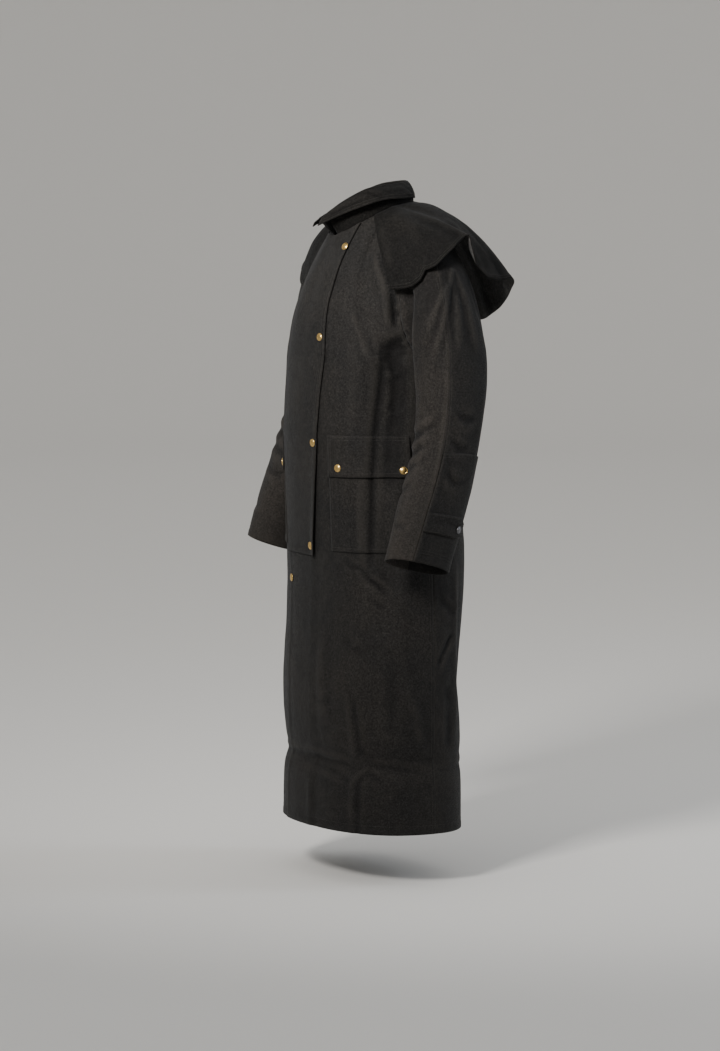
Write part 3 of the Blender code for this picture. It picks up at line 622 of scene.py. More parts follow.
def facing_out(grids, cell, outwards):
    """Shared normals, turned so that the one at a known cell points the given way."""
    normals = shared_normals(grids)
    sign = 1 if np.dot(normals[0][cell], outwards) > 0 else -1
    return [n * sign for n in normals]


CHEST_CELL = (60, FRONT[12])
front_normals, back_normals = facing_out([front, back], CHEST_CELL, (0, -1, 0))
print("front middle faces", front_normals[CHEST_CELL].round(2))

# %% [markdown]
# ## Pressing folds into the cloth
# Waxed canvas is stiff. It doesn't ripple like silk: it breaks into a few long troughs with a
# sharper edge on one side, keeps the creases in which it was packed, and crumples a little all
# over. A cloth simulation would round all of that off, so the folds are placed one by one. Each
# is a line of spots on a panel with a width and a depth. `lean` raises a ridge beside the
# trough, on its left or its right, `sharp` turns the round bottom into a pressed edge, and
# each line fades at its ends and is a little uneven along its way.

# %% One fold as a height over the cloth
FADE = (0.25, 0.25)
Crease = namedtuple("Crease", "spots width depth lean sharp fade", defaults=(0.0, 0.0, FADE))
EDGE_FALL = 1.7
EDGE_ROUNDING = 0.2
RIDGE_PLACE = 1.7
RIDGE_WIDTH = 0.95
RIDGE_SHARE = 0.6
UNEVENNESS = 0.28
STEP_PROUD = 0.0010
# Depth of a trough that gets the full painted shade in the material.
DEEP_HOLLOW = 0.009


def smooth(value):
    """An even ramp from 0 to 1."""
    value = np.clip(value, 0, 1)
    return value * value * (3 - 2 * value)


def softened(line):
    """A line with its corners rounded off."""
    for _ in range(2):
        near, far = line[:-1] * 0.75 + line[1:] * 0.25, line[:-1] * 0.25 + line[1:] * 0.75
        middle = np.stack([near, far], axis=1).reshape(-1, 3)
        line = np.concatenate([line[:1], middle, line[-1:]])
    return line


def distances_along(line):
    """How far each point of a line lies from its start."""
    return np.concatenate([[0], np.cumsum(np.linalg.norm(np.diff(line, axis=0), axis=1))])


def pressed(points, normals, line, crease, seed):
    """How far one fold moves every point of a grid along its normal."""
    line = softened(line)
    start, end = crease.width if np.ndim(crease.width) else (crease.width, crease.width)
    flat, facing = points.reshape(-1, 3), normals.reshape(-1, 3)
    reach = 4 * max(start, end)
    near = np.all((flat > line.min(axis=0) - reach) & (flat < line.max(axis=0) + reach), axis=1)
    height = np.zeros(len(flat))
    p, n = flat[near], facing[near]
    if not len(p):
        return height.reshape(points.shape[:2])
    lengths = distances_along(line)
    best, share, side = np.full(len(p), 9.0), np.zeros(len(p)), np.zeros(len(p))
    for k, (a, b) in enumerate(zip(line, line[1:])):
        step = b - a
        t = np.clip(((p - a) @ step) / max(step @ step, 1e-12), 0, 1)
        gap = p - (a + t[:, None] * step)
        away = np.linalg.norm(gap, axis=1)
        closer = away < best
        best = np.where(closer, away, best)
        passed = lengths[k] + t * (lengths[k + 1] - lengths[k])
        share = np.where(closer, passed / lengths[-1], share)
        side = np.where(closer, np.sign((np.cross(n, step) * gap).sum(axis=1)), side)
    d = best / (start + (end - start) * share)
    round_shape = np.exp(-d * d)
    edged = np.exp(-EDGE_FALL * (np.sqrt(d * d + EDGE_ROUNDING**2) - EDGE_ROUNDING))
    body = round_shape * (1 - crease.sharp) + edged * crease.sharp
    across = d * side * np.sign(crease.lean or 1)
    beside = np.exp(-((across - RIDGE_PLACE) / RIDGE_WIDTH) ** 2)
    uneven = 1 + UNEVENNESS * np.sin(share * 9.0 + seed * 2.1) * np.sin(share * 4.3 + seed)
    ends = smooth(share / max(crease.fade[0], 1e-4)) if crease.fade[0] else 1.0
    ends = ends * (smooth((1 - share) / crease.fade[1]) if crease.fade[1] else 1.0)
    shape = body - abs(crease.lean) * RIDGE_SHARE * beside
    height[near] = crease.depth * ends * uneven * shape
    return height.reshape(points.shape[:2])


def crumple(points, amount):
    """Small uneven waves all over, at three sizes."""
    waves = ((9.0, 0.0011), (24.0, 0.00050), (62.0, 0.00022))
    flat = []
    for p in points.reshape(-1, 3).tolist():
        height = 0.0
        for scale, size in waves:
            place = Vector((p[0] * scale + 3.1, p[1] * scale, p[2] * scale * 0.7))
            height += size * noise.noise(place)
        flat.append(height)
    return np.array(flat).reshape(points.shape[:2]) * amount


def away_from(points, line, reach):
    """0 on a line of points, rising to 1 at a distance from it."""
    flat = points.reshape(-1, 3)
    nearest = np.full(len(flat), 9.0)
    for p in line:
        nearest = np.minimum(nearest, np.linalg.norm(flat - p, axis=1))
    return smooth(nearest / reach).reshape(points.shape[:2])


def raised(height):
    """Where a relief stands proud of its surroundings (up to 1) or lies hollow (down to -1)."""
    wide = np.pad(height, 3, mode="edge")
    around = (wide[6:, 3:-3] + wide[:-6, 3:-3] + wide[3:-3, 6:] + wide[3:-3, :-6]) / 4
    proud = np.clip((height - around) / STEP_PROUD, 0, 1)
    # The hollow share goes to the material as painted shade in troughs and creases.
    hollow = np.clip((around - height) / STEP_PROUD, 0, 1) * 0.6 + smooth(-height / DEEP_HOLLOW)
    return proud - np.clip(hollow, 0, 1)


def folded(height, grid, normals, creases, place, seed):
    """A relief with a list of folds pressed in; place gives the point of each spot."""
    for k, crease in enumerate(creases):
        line = np.array([place(*spot) for spot in crease.spots])
        height += pressed(grid, normals, line, crease, seed + k)
    return height


print("folds have", Crease._fields)

# %% Folds of the body
def body_spot(column, height):
    """A place on the body: columns 0 to 23 lie on the fronts, and 23 to 41 on the back."""
    on_back = column > FRONT_LAST
    grid, old_columns = (back, BACK) if on_back else (front, FRONT)
    column -= on_back * FRONT_LAST
    where = np.interp(column, np.arange(len(old_columns)), old_columns)
    line = between(grid.transpose(1, 0, 2), where)
    return np.array([np.interp(height, line[:, 2], line[:, k]) for k in range(3)])


BODY_CREASES = table(Crease, (
    # The long trough from under the arm to the pocket's lower edge, and its edge in front.
    (((20.9, 1.06), (20.2, 0.96), (19.7, 0.86), (19.3, 0.765), (19.1, 0.665), (18.8, 0.55)),
     (0.011, 0.009), -0.0055, 0.0, 0.45, (0.30, 0.12)),
    (((18.5, 0.80), (18.25, 0.70), (18.2, 0.60), (18.3, 0.50)),
     0.010, 0.0022, 0.0, 0.5, (0.3, 0.4)),
    (((17.9, 1.10), (18.7, 1.04), (19.3, 0.98)), 0.009, 0.0026, 0.5, 0.3),
    (((17.2, 1.12), (18.0, 1.03), (18.1, 0.91), (17.8, 0.84)), 0.017, 0.0016),
    (((19.8, 0.992), (21.1, 0.996), (22.4, 1.006)), 0.0045, -0.0014, 0.5, 0.6),
    (((22.0, 1.05), (21.3, 0.95), (20.9, 0.85), (20.6, 0.77), (20.4, 0.70)),
     0.026, -0.0125, 0.0, 0.0, (0.12, 0.3)),
    (((21.6, 0.97), (20.9, 0.955), (20.2, 0.965)), 0.006, 0.0018, 0.5, 0.4),
    (((21.9, 0.89), (21.0, 0.875), (20.3, 0.885)), 0.006, 0.0018, -0.5, 0.4),
    # The valley in front of the shoulder, along the cape's edge.
    (((19.7, 1.215), (20.9, 1.180), (21.9, 1.146), (22.5, 1.100), (22.5, 1.045)),
     (0.006, 0.011), -0.0105, -0.4, 0.5, (0.2, 0.2)),
    # Small pulls under the pocket.
    (((18.0, 0.552), (18.9, 0.536), (19.9, 0.512)), 0.0058, -0.0036, 0.7, 0.4),
    (((17.3, 0.567), (18.3, 0.556), (19.4, 0.545)), 0.0050, -0.0028, -0.6, 0.3),
    (((18.6, 0.500), (19.3, 0.486), (19.9, 0.483)), 0.0055, -0.0014, 0.6, 0.3),
    (((17.0, 0.585), (17.5, 0.555), (18.3, 0.535)), 0.0060, -0.0013, 0.5, 0.2),
    # The crease from packing, all the way round above the hem.
    (((8.6, 0.156), (12.0, 0.157), (14.5, 0.158), (17.0, 0.150), (18.4, 0.143)),
     0.0065, -0.0031, 0.8, 0.8, (0.05, 0.25)),
    (((10.0, 0.142), (14.8, 0.141), (16.6, 0.129), (17.6, 0.121)),
     0.0058, -0.0021, -0.6, 0.7, (0.2, 0.3)),
    (((18.0, 0.147), (19.2, 0.153), (21.0, 0.146), (24.2, 0.140)),
     0.0060, -0.0023, 0.7, 0.7, (0.3, 0.3)),
    (((17.8, 0.098), (18.0, 0.126), (18.7, 0.138), (19.6, 0.124)), 0.0055, -0.0016, 0.8, 0.5),
    (((23.6, 0.141), (27.0, 0.149), (30.5, 0.143), (34.0, 0.152), (38.0, 0.146), (41.0, 0.150)),
     0.0065, -0.0040, 0.8, 0.8, (0.1, 0.05)),
    (((0.0, 0.150), (3.0, 0.143), (6.0, 0.152), (9.4, 0.156)),
     0.0065, -0.0040, 0.8, 0.8, (0.05, 0.2)),
    (((26.5, 0.134), (30.0, 0.127), (33.0, 0.135)), 0.0060, -0.0022, -0.6, 0.6),
    # Long soft folds of the skirt in front.
    (((17.3, 0.33), (17.8, 0.24), (18.0, 0.165)), (0.008, 0.010), -0.0026, -0.6, 0.4, (0.5, 0.1)),
    (((18.0, 0.130), (17.9, 0.080), (17.9, 0.011)), 0.008, -0.0022, -0.6, 0.5, (0.2, 0.0)),
    (((15.4, 0.47), (15.2, 0.34), (15.6, 0.20)), 0.020, 0.0022, 0.4, 0.0, (0.5, 0.3)),
    (((20.0, 0.42), (20.3, 0.30), (20.2, 0.19)), 0.015, -0.0022, 0.5, 0.1, (0.5, 0.4)),
    (((16.6, 0.42), (17.5, 0.39), (18.6, 0.395)), 0.010, -0.0010, 0.5, 0.2),
    (((14.2, 0.30), (15.0, 0.275), (16.2, 0.28)), 0.009, -0.0010, -0.5, 0.2),
    (((21.2, 0.32), (21.9, 0.26), (22.1, 0.18)), 0.012, 0.0018, 0.4, 0.2, (0.4, 0.3)),
    (((13.0, 0.12), (13.3, 0.07), (13.2, 0.011)), 0.012, 0.0016, 0.4, 0.2, (0.4, 0.0)),
    # The pull near the left side seam and the long edge behind it.
    (((25.0, 0.425), (24.0, 0.395), (23.2, 0.352)), 0.0065, -0.0040, 0.8, 0.5, (0.2, 0.25)),
    (((23.4, 0.50), (24.6, 0.47), (25.8, 0.455)), 0.0080, -0.0024, 0.7, 0.3),
    (((25.3, 0.60), (25.2, 0.46), (25.6, 0.34), (25.3, 0.20)),
     0.012, 0.0044, 0.5, 0.4, (0.3, 0.3)),
    (((24.2, 0.33), (24.5, 0.25), (24.2, 0.17)), 0.012, -0.0030, 0.5, 0.2),
    # The back, in the same way.
    (((28.4, 1.00), (28.2, 0.80), (28.7, 0.56), (28.3, 0.34), (28.6, 0.17)),
     (0.016, 0.022), -0.0055, 0.5, 0.2, (0.3, 0.2)),
    (((35.6, 0.96), (36.1, 0.74), (35.7, 0.52), (36.2, 0.30), (36.0, 0.17)),
     (0.017, 0.022), -0.0050, -0.5, 0.2, (0.3, 0.2)),
    (((31.8, 0.90), (31.3, 0.70), (31.6, 0.47)), 0.020, 0.0034, 0.3, 0.1, (0.5, 0.5)),
    (((33.4, 0.60), (33.2, 0.40), (33.7, 0.20)), 0.018, 0.0030, -0.3, 0.1, (0.5, 0.3)),
    (((25.4, 0.93), (26.8, 0.905), (28.4, 0.91)), 0.010, -0.0024, 0.6, 0.3),
    (((38.6, 0.90), (37.2, 0.875), (35.8, 0.885)), 0.010, -0.0022, -0.6, 0.3),
    (((29.3, 0.655), (31.2, 0.640), (33.5, 0.650), (35.2, 0.662)),
     0.0070, -0.0017, 0.6, 0.6, (0.3, 0.3)),
    (((29.6, 0.44), (31.0, 0.415), (32.4, 0.425)), 0.009, -0.0015, 0.6, 0.3),
    (((34.1, 0.36), (35.0, 0.325), (36.6, 0.31)), 0.009, -0.0018, 0.6, 0.3),
    (((30.2, 0.12), (30.0, 0.06), (30.3, 0.011)), 0.012, 0.0022, 0.4, 0.2, (0.4, 0.0)),
    (((37.0, 0.12), (37.3, 0.07), (37.1, 0.011)), 0.012, 0.0022, -0.4, 0.2, (0.4, 0.0)),
    (((29.5, 1.10), (31.0, 1.075), (33.0, 1.08), (34.6, 1.10)), 0.012, -0.0020, 0.5, 0.2),
    # The right side.
    (((2.6, 1.05), (3.4, 0.93), (3.9, 0.80), (4.1, 0.68), (4.0, 0.56)),
     (0.013, 0.011), -0.0058, -0.7, 0.35, (0.3, 0.15)),
    (((4.9, 0.78), (4.8, 0.66), (4.9, 0.52)), 0.011, 0.0020, 0.0, 0.4, (0.3, 0.4)),
    (((5.1, 0.555), (4.2, 0.538), (3.2, 0.518)), 0.0058, -0.0024, -0.7, 0.4),
    (((5.6, 0.45), (5.3, 0.32), (5.5, 0.20)), 0.016, 0.0028, -0.4, 0.2, (0.4, 0.3)),
    (((2.4, 0.44), (2.1, 0.31), (2.4, 0.19)), 0.014, -0.0028, 0.5, 0.2, (0.4, 0.3)),
    (((39.2, 0.46), (40.0, 0.42), (40.8, 0.385)), 0.007, -0.0030, 0.7, 0.4),
    (((0.7, 0.60), (1.0, 0.47), (0.7, 0.34)), 0.013, 0.0030, 0.4, 0.3, (0.3, 0.3)),
))
armholes = [panel[ARMPIT::4, end] for panel in (front, back) for end in (0, -1)]
neck_line = np.concatenate([front[-1, ::3], back[-1, ::3]])
quiet_lines = np.concatenate(armholes + [neck_line])
BODY_CRUMPLE = 1.0
BODY_QUIET = 0.018


def body_relief(points, normals):
    """All folds of the body on one grid, calm at the armholes and the neck."""
    height = crumple(points, BODY_CRUMPLE)
    height = folded(height, points, normals, BODY_CREASES, body_spot, 0)
    return height * away_from(points, quiet_lines, BODY_QUIET)


front_height, back_height = body_relief(front, front_normals), body_relief(back, back_normals)
front = front + front_normals * front_height[..., None]
back = back + back_normals * back_height[..., None]
front_normals, back_normals = facing_out([front, back], CHEST_CELL, (0, -1, 0))
front_ridge, back_ridge = raised(front_height), raised(back_height)
print("body folds", len(BODY_CREASES), "deepest", round(float(front_height.min()) * 1000, 1), "mm")

# %% [markdown]
# ## Folds of the sleeves, the cape and the collar
# A sleeve hangs from the shoulder, so its folds fan out from one point under the cape and
# then cross the elbow, where the arm was bent. A pressed edge runs down the outer seam. The
# cape is cut in a curve: its hem drops to a stitched tab in front and rises to a peak on the
# shoulder, and its right front edge is drawn in, closer to the body. Two more values are given
# to the material in the same field as the ridges: the upper sleeve under the cape counts as a
# hollow, which is painted shade for the cape's shadow, and the front of the forearm counts as a
# ridge, which is painted light for the light that it catches.

# %% Folds of the sleeves
def spots_on(grid, old_rows, old_columns):
    """A function that finds a place on a grid by its old column and its old row."""
    def place(column, row):
        column = column % (len(old_columns) - 1)
        x = np.interp(column, np.arange(len(old_columns)), old_columns)
        y = np.interp(row, np.arange(len(old_rows)), old_rows)
        return between(between(grid, y), x)

    return place


SLEEVE_CREASES = table(Crease, (
    # The fan from the shoulder.
    (((15.0, 1.8), (15.7, 2.8), (0.6, 3.5), (1.5, 4.4)),
     (0.005, 0.011), 0.0052, 0.8, 0.3, (0.1, 0.5)),
    (((15.0, 1.8), (15.1, 2.9), (15.3, 3.7), (15.5, 4.6)),
     (0.005, 0.009), 0.0044, -0.6, 0.3, (0.1, 0.5)),
    (((14.8, 1.8), (14.4, 2.8), (14.2, 3.6), (13.8, 4.6)),
     (0.005, 0.011), 0.0046, -0.7, 0.3, (0.1, 0.5)),
    (((15.3, 2.2), (0.6, 2.8), (2.2, 3.6)), (0.007, 0.013), 0.0040, 0.7, 0.3, (0.2, 0.5)),
    (((13.8, 1.8), (12.9, 2.8), (12.3, 4.0)), (0.008, 0.015), -0.0040, 0.5, 0.2, (0.2, 0.4)),
    # The deep fold where the sleeve's front meets the body, under the cape.
    (((2.2, 0.3), (3.2, 0.7), (4.2, 0.8), (5.0, 1.0), (5.4, 1.8)),
     (0.012, 0.016), -0.0170, 0.0, 0.1, (0.2, 0.4)),
    (((2.6, 1.6), (3.3, 2.6), (3.6, 3.8), (3.7, 4.8)), (0.008, 0.012), 0.0028, 0.0, 0.3),
    # The pressed edge along the outer seam.
    (((0.0, 1.2), (0.0, 4.0), (0.0, 7.0), (0.0, 12.0)), 0.009, 0.0034, 0.0, 0.8, (0.1, 0.0)),
    # Elbow and forearm.
    (((4.6, 6.1), (2.6, 6.25), (0.6, 6.0)), (0.010, 0.007), -0.0052, 0.8, 0.4, (0.1, 0.4)),
    (((4.8, 6.8), (2.9, 6.85), (1.2, 6.55)), (0.010, 0.007), -0.0050, 0.8, 0.4, (0.1, 0.4)),
    (((5.0, 7.5), (3.0, 7.4), (1.0, 7.1)), (0.009, 0.007), -0.0044, 0.7, 0.4, (0.1, 0.4)),
    (((4.7, 8.3), (3.2, 8.15), (1.8, 7.9)), (0.008, 0.006), -0.0030, 0.7, 0.3, (0.1, 0.4)),
    (((3.4, 9.6), (2.6, 9.9), (1.4, 9.8)), 0.008, -0.0022, 0.5, 0.2),
    (((2.2, 5.2), (1.9, 6.0), (2.2, 7.0), (1.9, 8.4)), 0.012, 0.0024, 0.0, 0.2, (0.4, 0.4)),
    (((15.6, 6.6), (14.9, 6.9), (14.0, 6.85)), 0.007, -0.0036, 0.7, 0.4, (0.15, 0.4)),
    (((15.4, 5.9), (14.6, 6.1), (13.6, 5.95)), 0.008, -0.0034, -0.6, 0.4, (0.15, 0.4)),
    (((15.5, 7.6), (14.6, 8.0), (13.4, 7.8)), 0.007, -0.0028, 0.7, 0.4, (0.15, 0.4)),
    (((12.9, 4.9), (13.2, 6.0), (12.8, 7.1)), 0.012, 0.0028, 0.4, 0.2, (0.4, 0.4)),
    (((14.9, 9.2), (14.1, 9.5), (13.0, 9.4)), 0.008, -0.0022, 0.5, 0.3),
    # The inner side.
    (((6.0, 4.2), (7.4, 4.6), (9.0, 4.3)), 0.010, -0.0036, 0.6, 0.3),
    (((5.6, 5.6), (7.6, 6.1), (9.8, 5.9)), 0.010, -0.0036, 0.6, 0.3),
    (((6.2, 7.0), (8.0, 7.3), (9.6, 7.0)), 0.009, -0.0030, 0.6, 0.3),
    (((10.6, 3.4), (11.2, 5.2), (10.8, 7.4)), 0.014, -0.0034, 0.4, 0.2),
))
SLEEVE_SEED = 40
SLEEVE_CRUMPLE = 0.9
SLEEVE_QUIET = 0.012
SLEEVE_CELL = (60, 0)
SIDES = (("left", 1), ("right", -1))


def sleeve_relief(grid, normals):
    """All folds of one sleeve, calm where it is sewn to the armhole."""
    height = crumple(grid, SLEEVE_CRUMPLE)
    height[:, -1] = height[:, 0]
    place = spots_on(grid, SLEEVE_ROW, ROUND)
    height = folded(height, grid, normals, SLEEVE_CREASES, place, SLEEVE_SEED)
    return height * away_from(grid, grid[0, ::4], SLEEVE_QUIET)


def sleeve_facing(grid, sign):
    """Normals of a sleeve; those of its first ring lie in the ring's own plane."""
    normals, = facing_out([grid], SLEEVE_CELL, (sign, 0, 0))
    radial = grid[0] - grid[0, :-1].mean(axis=0)
    radial[:, 0] = 0
    normals[0] = unit(radial)
    return normals


# Painted shade: the sleeve's top rows, under the cape, are darkened for the cape's shadow.
CAPE_SHADOW_PAINT = ((0.0, -1.0), (2.2, -1.0), (3.2, -0.55), (4.8, 0.0), (12.0, 0.0))
# Painted light: the front of the forearm is lightened towards the tone of rubbed wax, for the light
# that it catches.
FOREARM_PAINTED_LIGHT = ((0.0, 0.0), (6.5, 0.0), (9.0, 0.60), (12.0, 0.75))
old_row = np.interp(np.arange(SLEEVE_ROW[-1] + 1), SLEEVE_ROW, np.arange(len(SLEEVE_ROW)))
painted_cape_shadow, rubbed = (pair_value(pairs, old_row)[:, None] for pairs in (CAPE_SHADOW_PAINT, FOREARM_PAINTED_LIGHT))
sleeve_normals, sleeve_ridges = {}, {}
for side, sign in SIDES:
    grid = sleeves[side]
    normals = sleeve_facing(grid, sign)
    height = sleeve_relief(grid, normals)
    sleeves[side] = grid + normals * height[..., None]
    sleeve_normals[side] = sleeve_facing(sleeves[side], sign)
    # The painted shadow of the cape joins the ridge field here.
    sleeve_ridges[side] = np.clip(raised(height) + painted_cape_shadow, -1, 1)
print("sleeve folds", len(SLEEVE_CREASES))

# %% The curve of the cape's hem, and its folds
HEM_CHANGES = (
    (0.0, 0.000), (0.7, 0.002), (1.3, 0.004), (1.75, 0.000),
    (2.1, -0.014), (2.8, -0.008), (3.4, -0.008), (4.1, -0.004), (5.0, 0.0),
)
RIGHT_EDGE_INWARD = ((0.0, 0.012), (0.5, 0.011), (1.0, 0.006), (1.5, 0.001), (2.0, 0.0))
CAPE_CREASES = table(Crease, (
    (((5.0, 7.0), (4.9, 5.0), (4.6, 3.0), (4.2, 1.2)),
     (0.010, 0.016), 0.0040, 0.5, 0.5, (0.0, 0.4)),
    (((5.0, 3.2), (5.9, 4.8), (6.2, 7.0)), 0.012, -0.0030, 0.5, 0.2, (0.3, 0.0)),
    (((2.0, 1.0), (2.6, 3.4), (2.4, 5.6)), 0.016, 0.0022, 0.4, 0.0),
    (((0.5, 1.2), (0.6, 3.5), (0.5, 6.0)), 0.009, 0.0018, 0.0, 0.2),
    (((8.3, 1.5), (8.4, 4.0), (8.3, 7.0)), (0.012, 0.020), -0.0044, 0.4, 0.2, (0.3, 0.0)),
    (((9.4, 2.0), (9.6, 4.5), (9.5, 7.0)), (0.012, 0.018), 0.0042, 0.4, 0.2, (0.3, 0.0)),
    (((11.4, 1.6), (11.2, 4.2), (11.5, 7.0)), (0.014, 0.022), -0.0046, -0.4, 0.2, (0.3, 0.0)),
    (((13.2, 2.0), (13.0, 4.4), (13.1, 7.0)), (0.012, 0.020), 0.0036, 0.3, 0.2, (0.4, 0.0)),
    (((15.0, 1.6), (15.2, 4.2), (15.0, 7.0)), (0.014, 0.022), -0.0044, 0.4, 0.2, (0.3, 0.0)),
    (((17.3, 2.0), (17.1, 4.5), (17.4, 7.0)), (0.012, 0.018), 0.0040, -0.4, 0.2, (0.3, 0.0)),
    (((21.0, 7.0), (21.2, 5.0), (21.4, 3.0), (21.8, 1.2)),
     (0.010, 0.016), 0.0036, -0.5, 0.5, (0.0, 0.4)),
    (((24.0, 1.0), (23.5, 3.4), (23.6, 5.6)), 0.016, 0.0020, 0.4, 0.0),
    (((9.0, 3.4), (10.6, 3.0), (12.4, 3.6)), 0.010, -0.0016, 0.5, 0.3),
    (((14.2, 4.8), (15.8, 4.4), (17.0, 4.9)), 0.010, -0.0016, 0.5, 0.3),
))
CAPE_SEED = 80
CAPE_CRUMPLE = 0.9
HEM_WEIGHT = 2.2
EDGE_ROWS = 10
CALM_SHARE = 1 / 6
CAPE_CELL = (20, cape.shape[1] // 2)
CAPE_FACING = (0, 1, 1)
along = np.interp(np.arange(cape.shape[1]), CAPE_MARKS, np.arange(len(CAPE_MARKS)))
from_right = len(CAPE_MARKS) - 1 - along
change = pair_value(HEM_CHANGES, np.minimum(along, from_right))
down = unit(cape[-1] - cape[-7])
weight = np.linspace(0, 1, cape.shape[0])[:, None, None] ** HEM_WEIGHT
cape = cape + weight * (down * change[:, None])[None]
cape_normals, = facing_out([cape], CAPE_CELL, CAPE_FACING)
inward = pair_value(RIGHT_EDGE_INWARD, from_right)
weight = smooth(np.arange(cape.shape[0]) / EDGE_ROWS)[:, None, None]
cape = cape - weight * cape_normals * inward[None, :, None]
cape_normals, = facing_out([cape], CAPE_CELL, CAPE_FACING)
place = spots_on(cape, CAPE_DOWN_MARKS, CAPE_MARKS)
height = crumple(cape, CAPE_CRUMPLE)
height = folded(height, cape, cape_normals, CAPE_CREASES, place, CAPE_SEED)
height *= smooth(np.linspace(0, 1 / CALM_SHARE, cape.shape[0]))[:, None]
cape = cape + cape_normals * height[..., None]
cape_normals, = facing_out([cape], CAPE_CELL, CAPE_FACING)
cape_ridge = raised(height)
print("cape folds", len(CAPE_CREASES))

# %% Folds of the collar
FALL_MARKS, COLLAR_MARKS = marks(FALL_STEPS), marks(COLLAR_STEPS)
COLLAR_CREASES = table(Crease, (
    (((0.4, 3.3), (2.0, 3.1), (4.0, 3.0), (6.2, 3.2)), 0.0055, -0.0026, 0.7, 0.6, (0.1, 0.3)),
    (((2.6, 2.2), (3.4, 2.9), (3.9, 3.9)), 0.0050, -0.0016, 0.7, 0.4),
    (((4.9, 2.2), (5.5, 3.0), (5.8, 4.0)), 0.0060, 0.0016, 0.6, 0.4),
    (((9.2, 3.2), (11.0, 3.0), (13.4, 3.2)), 0.0055, -0.0020, 0.7, 0.6, (0.3, 0.3)),
    (((12.2, 2.2), (12.8, 3.0), (13.1, 4.0)), 0.0060, -0.0016, 0.6, 0.4),
))
COLLAR_SEED = 120
COLLAR_CRUMPLE = 0.8
CALM_ROWS = 8
STAND_CELL, FALL_CELL = (8, 56), (16, 56)
TO_THE_BACK = (0, 1, 0)
stand_normals, = facing_out([stand], STAND_CELL, TO_THE_BACK)
fall_normals, = facing_out([fall], FALL_CELL, TO_THE_BACK)
place = spots_on(fall, FALL_MARKS, COLLAR_MARKS)
height = crumple(fall, COLLAR_CRUMPLE)
height = folded(height, fall, fall_normals, COLLAR_CREASES, place, COLLAR_SEED)
height *= smooth(np.arange(fall.shape[0]) / CALM_ROWS)[:, None]
fall = fall + fall_normals * height[..., None]
fall_normals, = facing_out([fall], FALL_CELL, TO_THE_BACK)
fall_ridge = raised(height)
print("collar folds", len(COLLAR_CREASES))

# %% [markdown]
# ## Turning a grid into cloth
# Real cloth is a thin shell. Solidify could give a surface its thickness, but pieces that are
# sewn on each other need an exact distance between them, so each shell is built here from its
# own middle surface: an outer skin, an inner skin and a rounded rim. The shell keeps a UV map
# in metres for the weave, and two attributes for the material: how close a point is to a worn
# edge, and how high it stands on a fold. The second also carries painted shade for hollows and
# for the sleeve under the cape, and painted light for the forearm.

# %% Build one shell
skins = {}
cloth_pieces = {}


def pull_in(grid, side, amount):
    """Move one border of a grid along its own surface, towards the next line of points."""
    moved = grid.copy()
    views = {
        "first_row": (moved[0], grid[1]),
        "last_row": (moved[-1], grid[-2]),
        "first_column": (moved[:, 0], grid[:, 1]),
        "last_column": (moved[:, -1], grid[:, -2]),
    }
    border, inner = views[side]
    border += unit(inner - border) * amount
    return moved


def run_lengths(grid):
    """Distances along the rows and along the columns, in metres."""
    along = np.linalg.norm(np.diff(grid, axis=1), axis=-1)
    up = np.linalg.norm(np.diff(grid, axis=0), axis=-1)
    u = np.concatenate([np.zeros((grid.shape[0], 1)), np.cumsum(along, axis=1)], axis=1)
    v = np.concatenate([np.zeros((1, grid.shape[1])), np.cumsum(up, axis=0)])
    return u, v


def edge_nearness(grid, sides, reach):
    """1 on the named borders, falling to 0 at a distance."""
    u, v = run_lengths(grid)
    near = np.full(u.shape, 10.0)
    distances = {
        "first_row": v, "last_row": v[-1] - v,
        "first_column": u, "last_column": u[:, -1:] - u,
    }
    for side in sides:
        near = np.minimum(near, distances[side])
    return np.clip(1 - near / reach, 0, 1)


HEM_THICKENING = 0.0007
HEM_REACH = 0.014
WEAR_REACH = 0.009
RIM_BULGE = 0.30


def new_object(name, data):
    """An object that is in the scene."""
    made = bpy.data.objects.new(name, data)
    bpy.context.scene.collection.objects.link(made)
    return made


def smooth_mesh(name, points, faces):
    """A mesh with smooth shading."""
    mesh = bpy.data.meshes.new(name)
    mesh.from_pydata(points, [], faces)
    mesh.polygons.foreach_set("use_smooth", [True] * len(faces))
    return mesh


def shell_faces(index, border):
    """Faces of the outer skin, the inner skin and the rim; border lists the border's points."""
    count = index.size
    corners = (index[:-1, :-1], index[:-1, 1:], index[1:, 1:], index[1:, :-1])
    outer = np.stack(corners, axis=-1).reshape(-1, 4)
    a, b = border, np.roll(border, -1)
    m = 2 * count + np.arange(len(border))
    n = np.roll(m, -1)
    strips = np.stack([b, a, m, n, n, m, count + a, count + b], axis=-1).reshape(-1, 4)
    return np.concatenate([outer, count + outer[:, [0, 3, 2, 1]], strips])


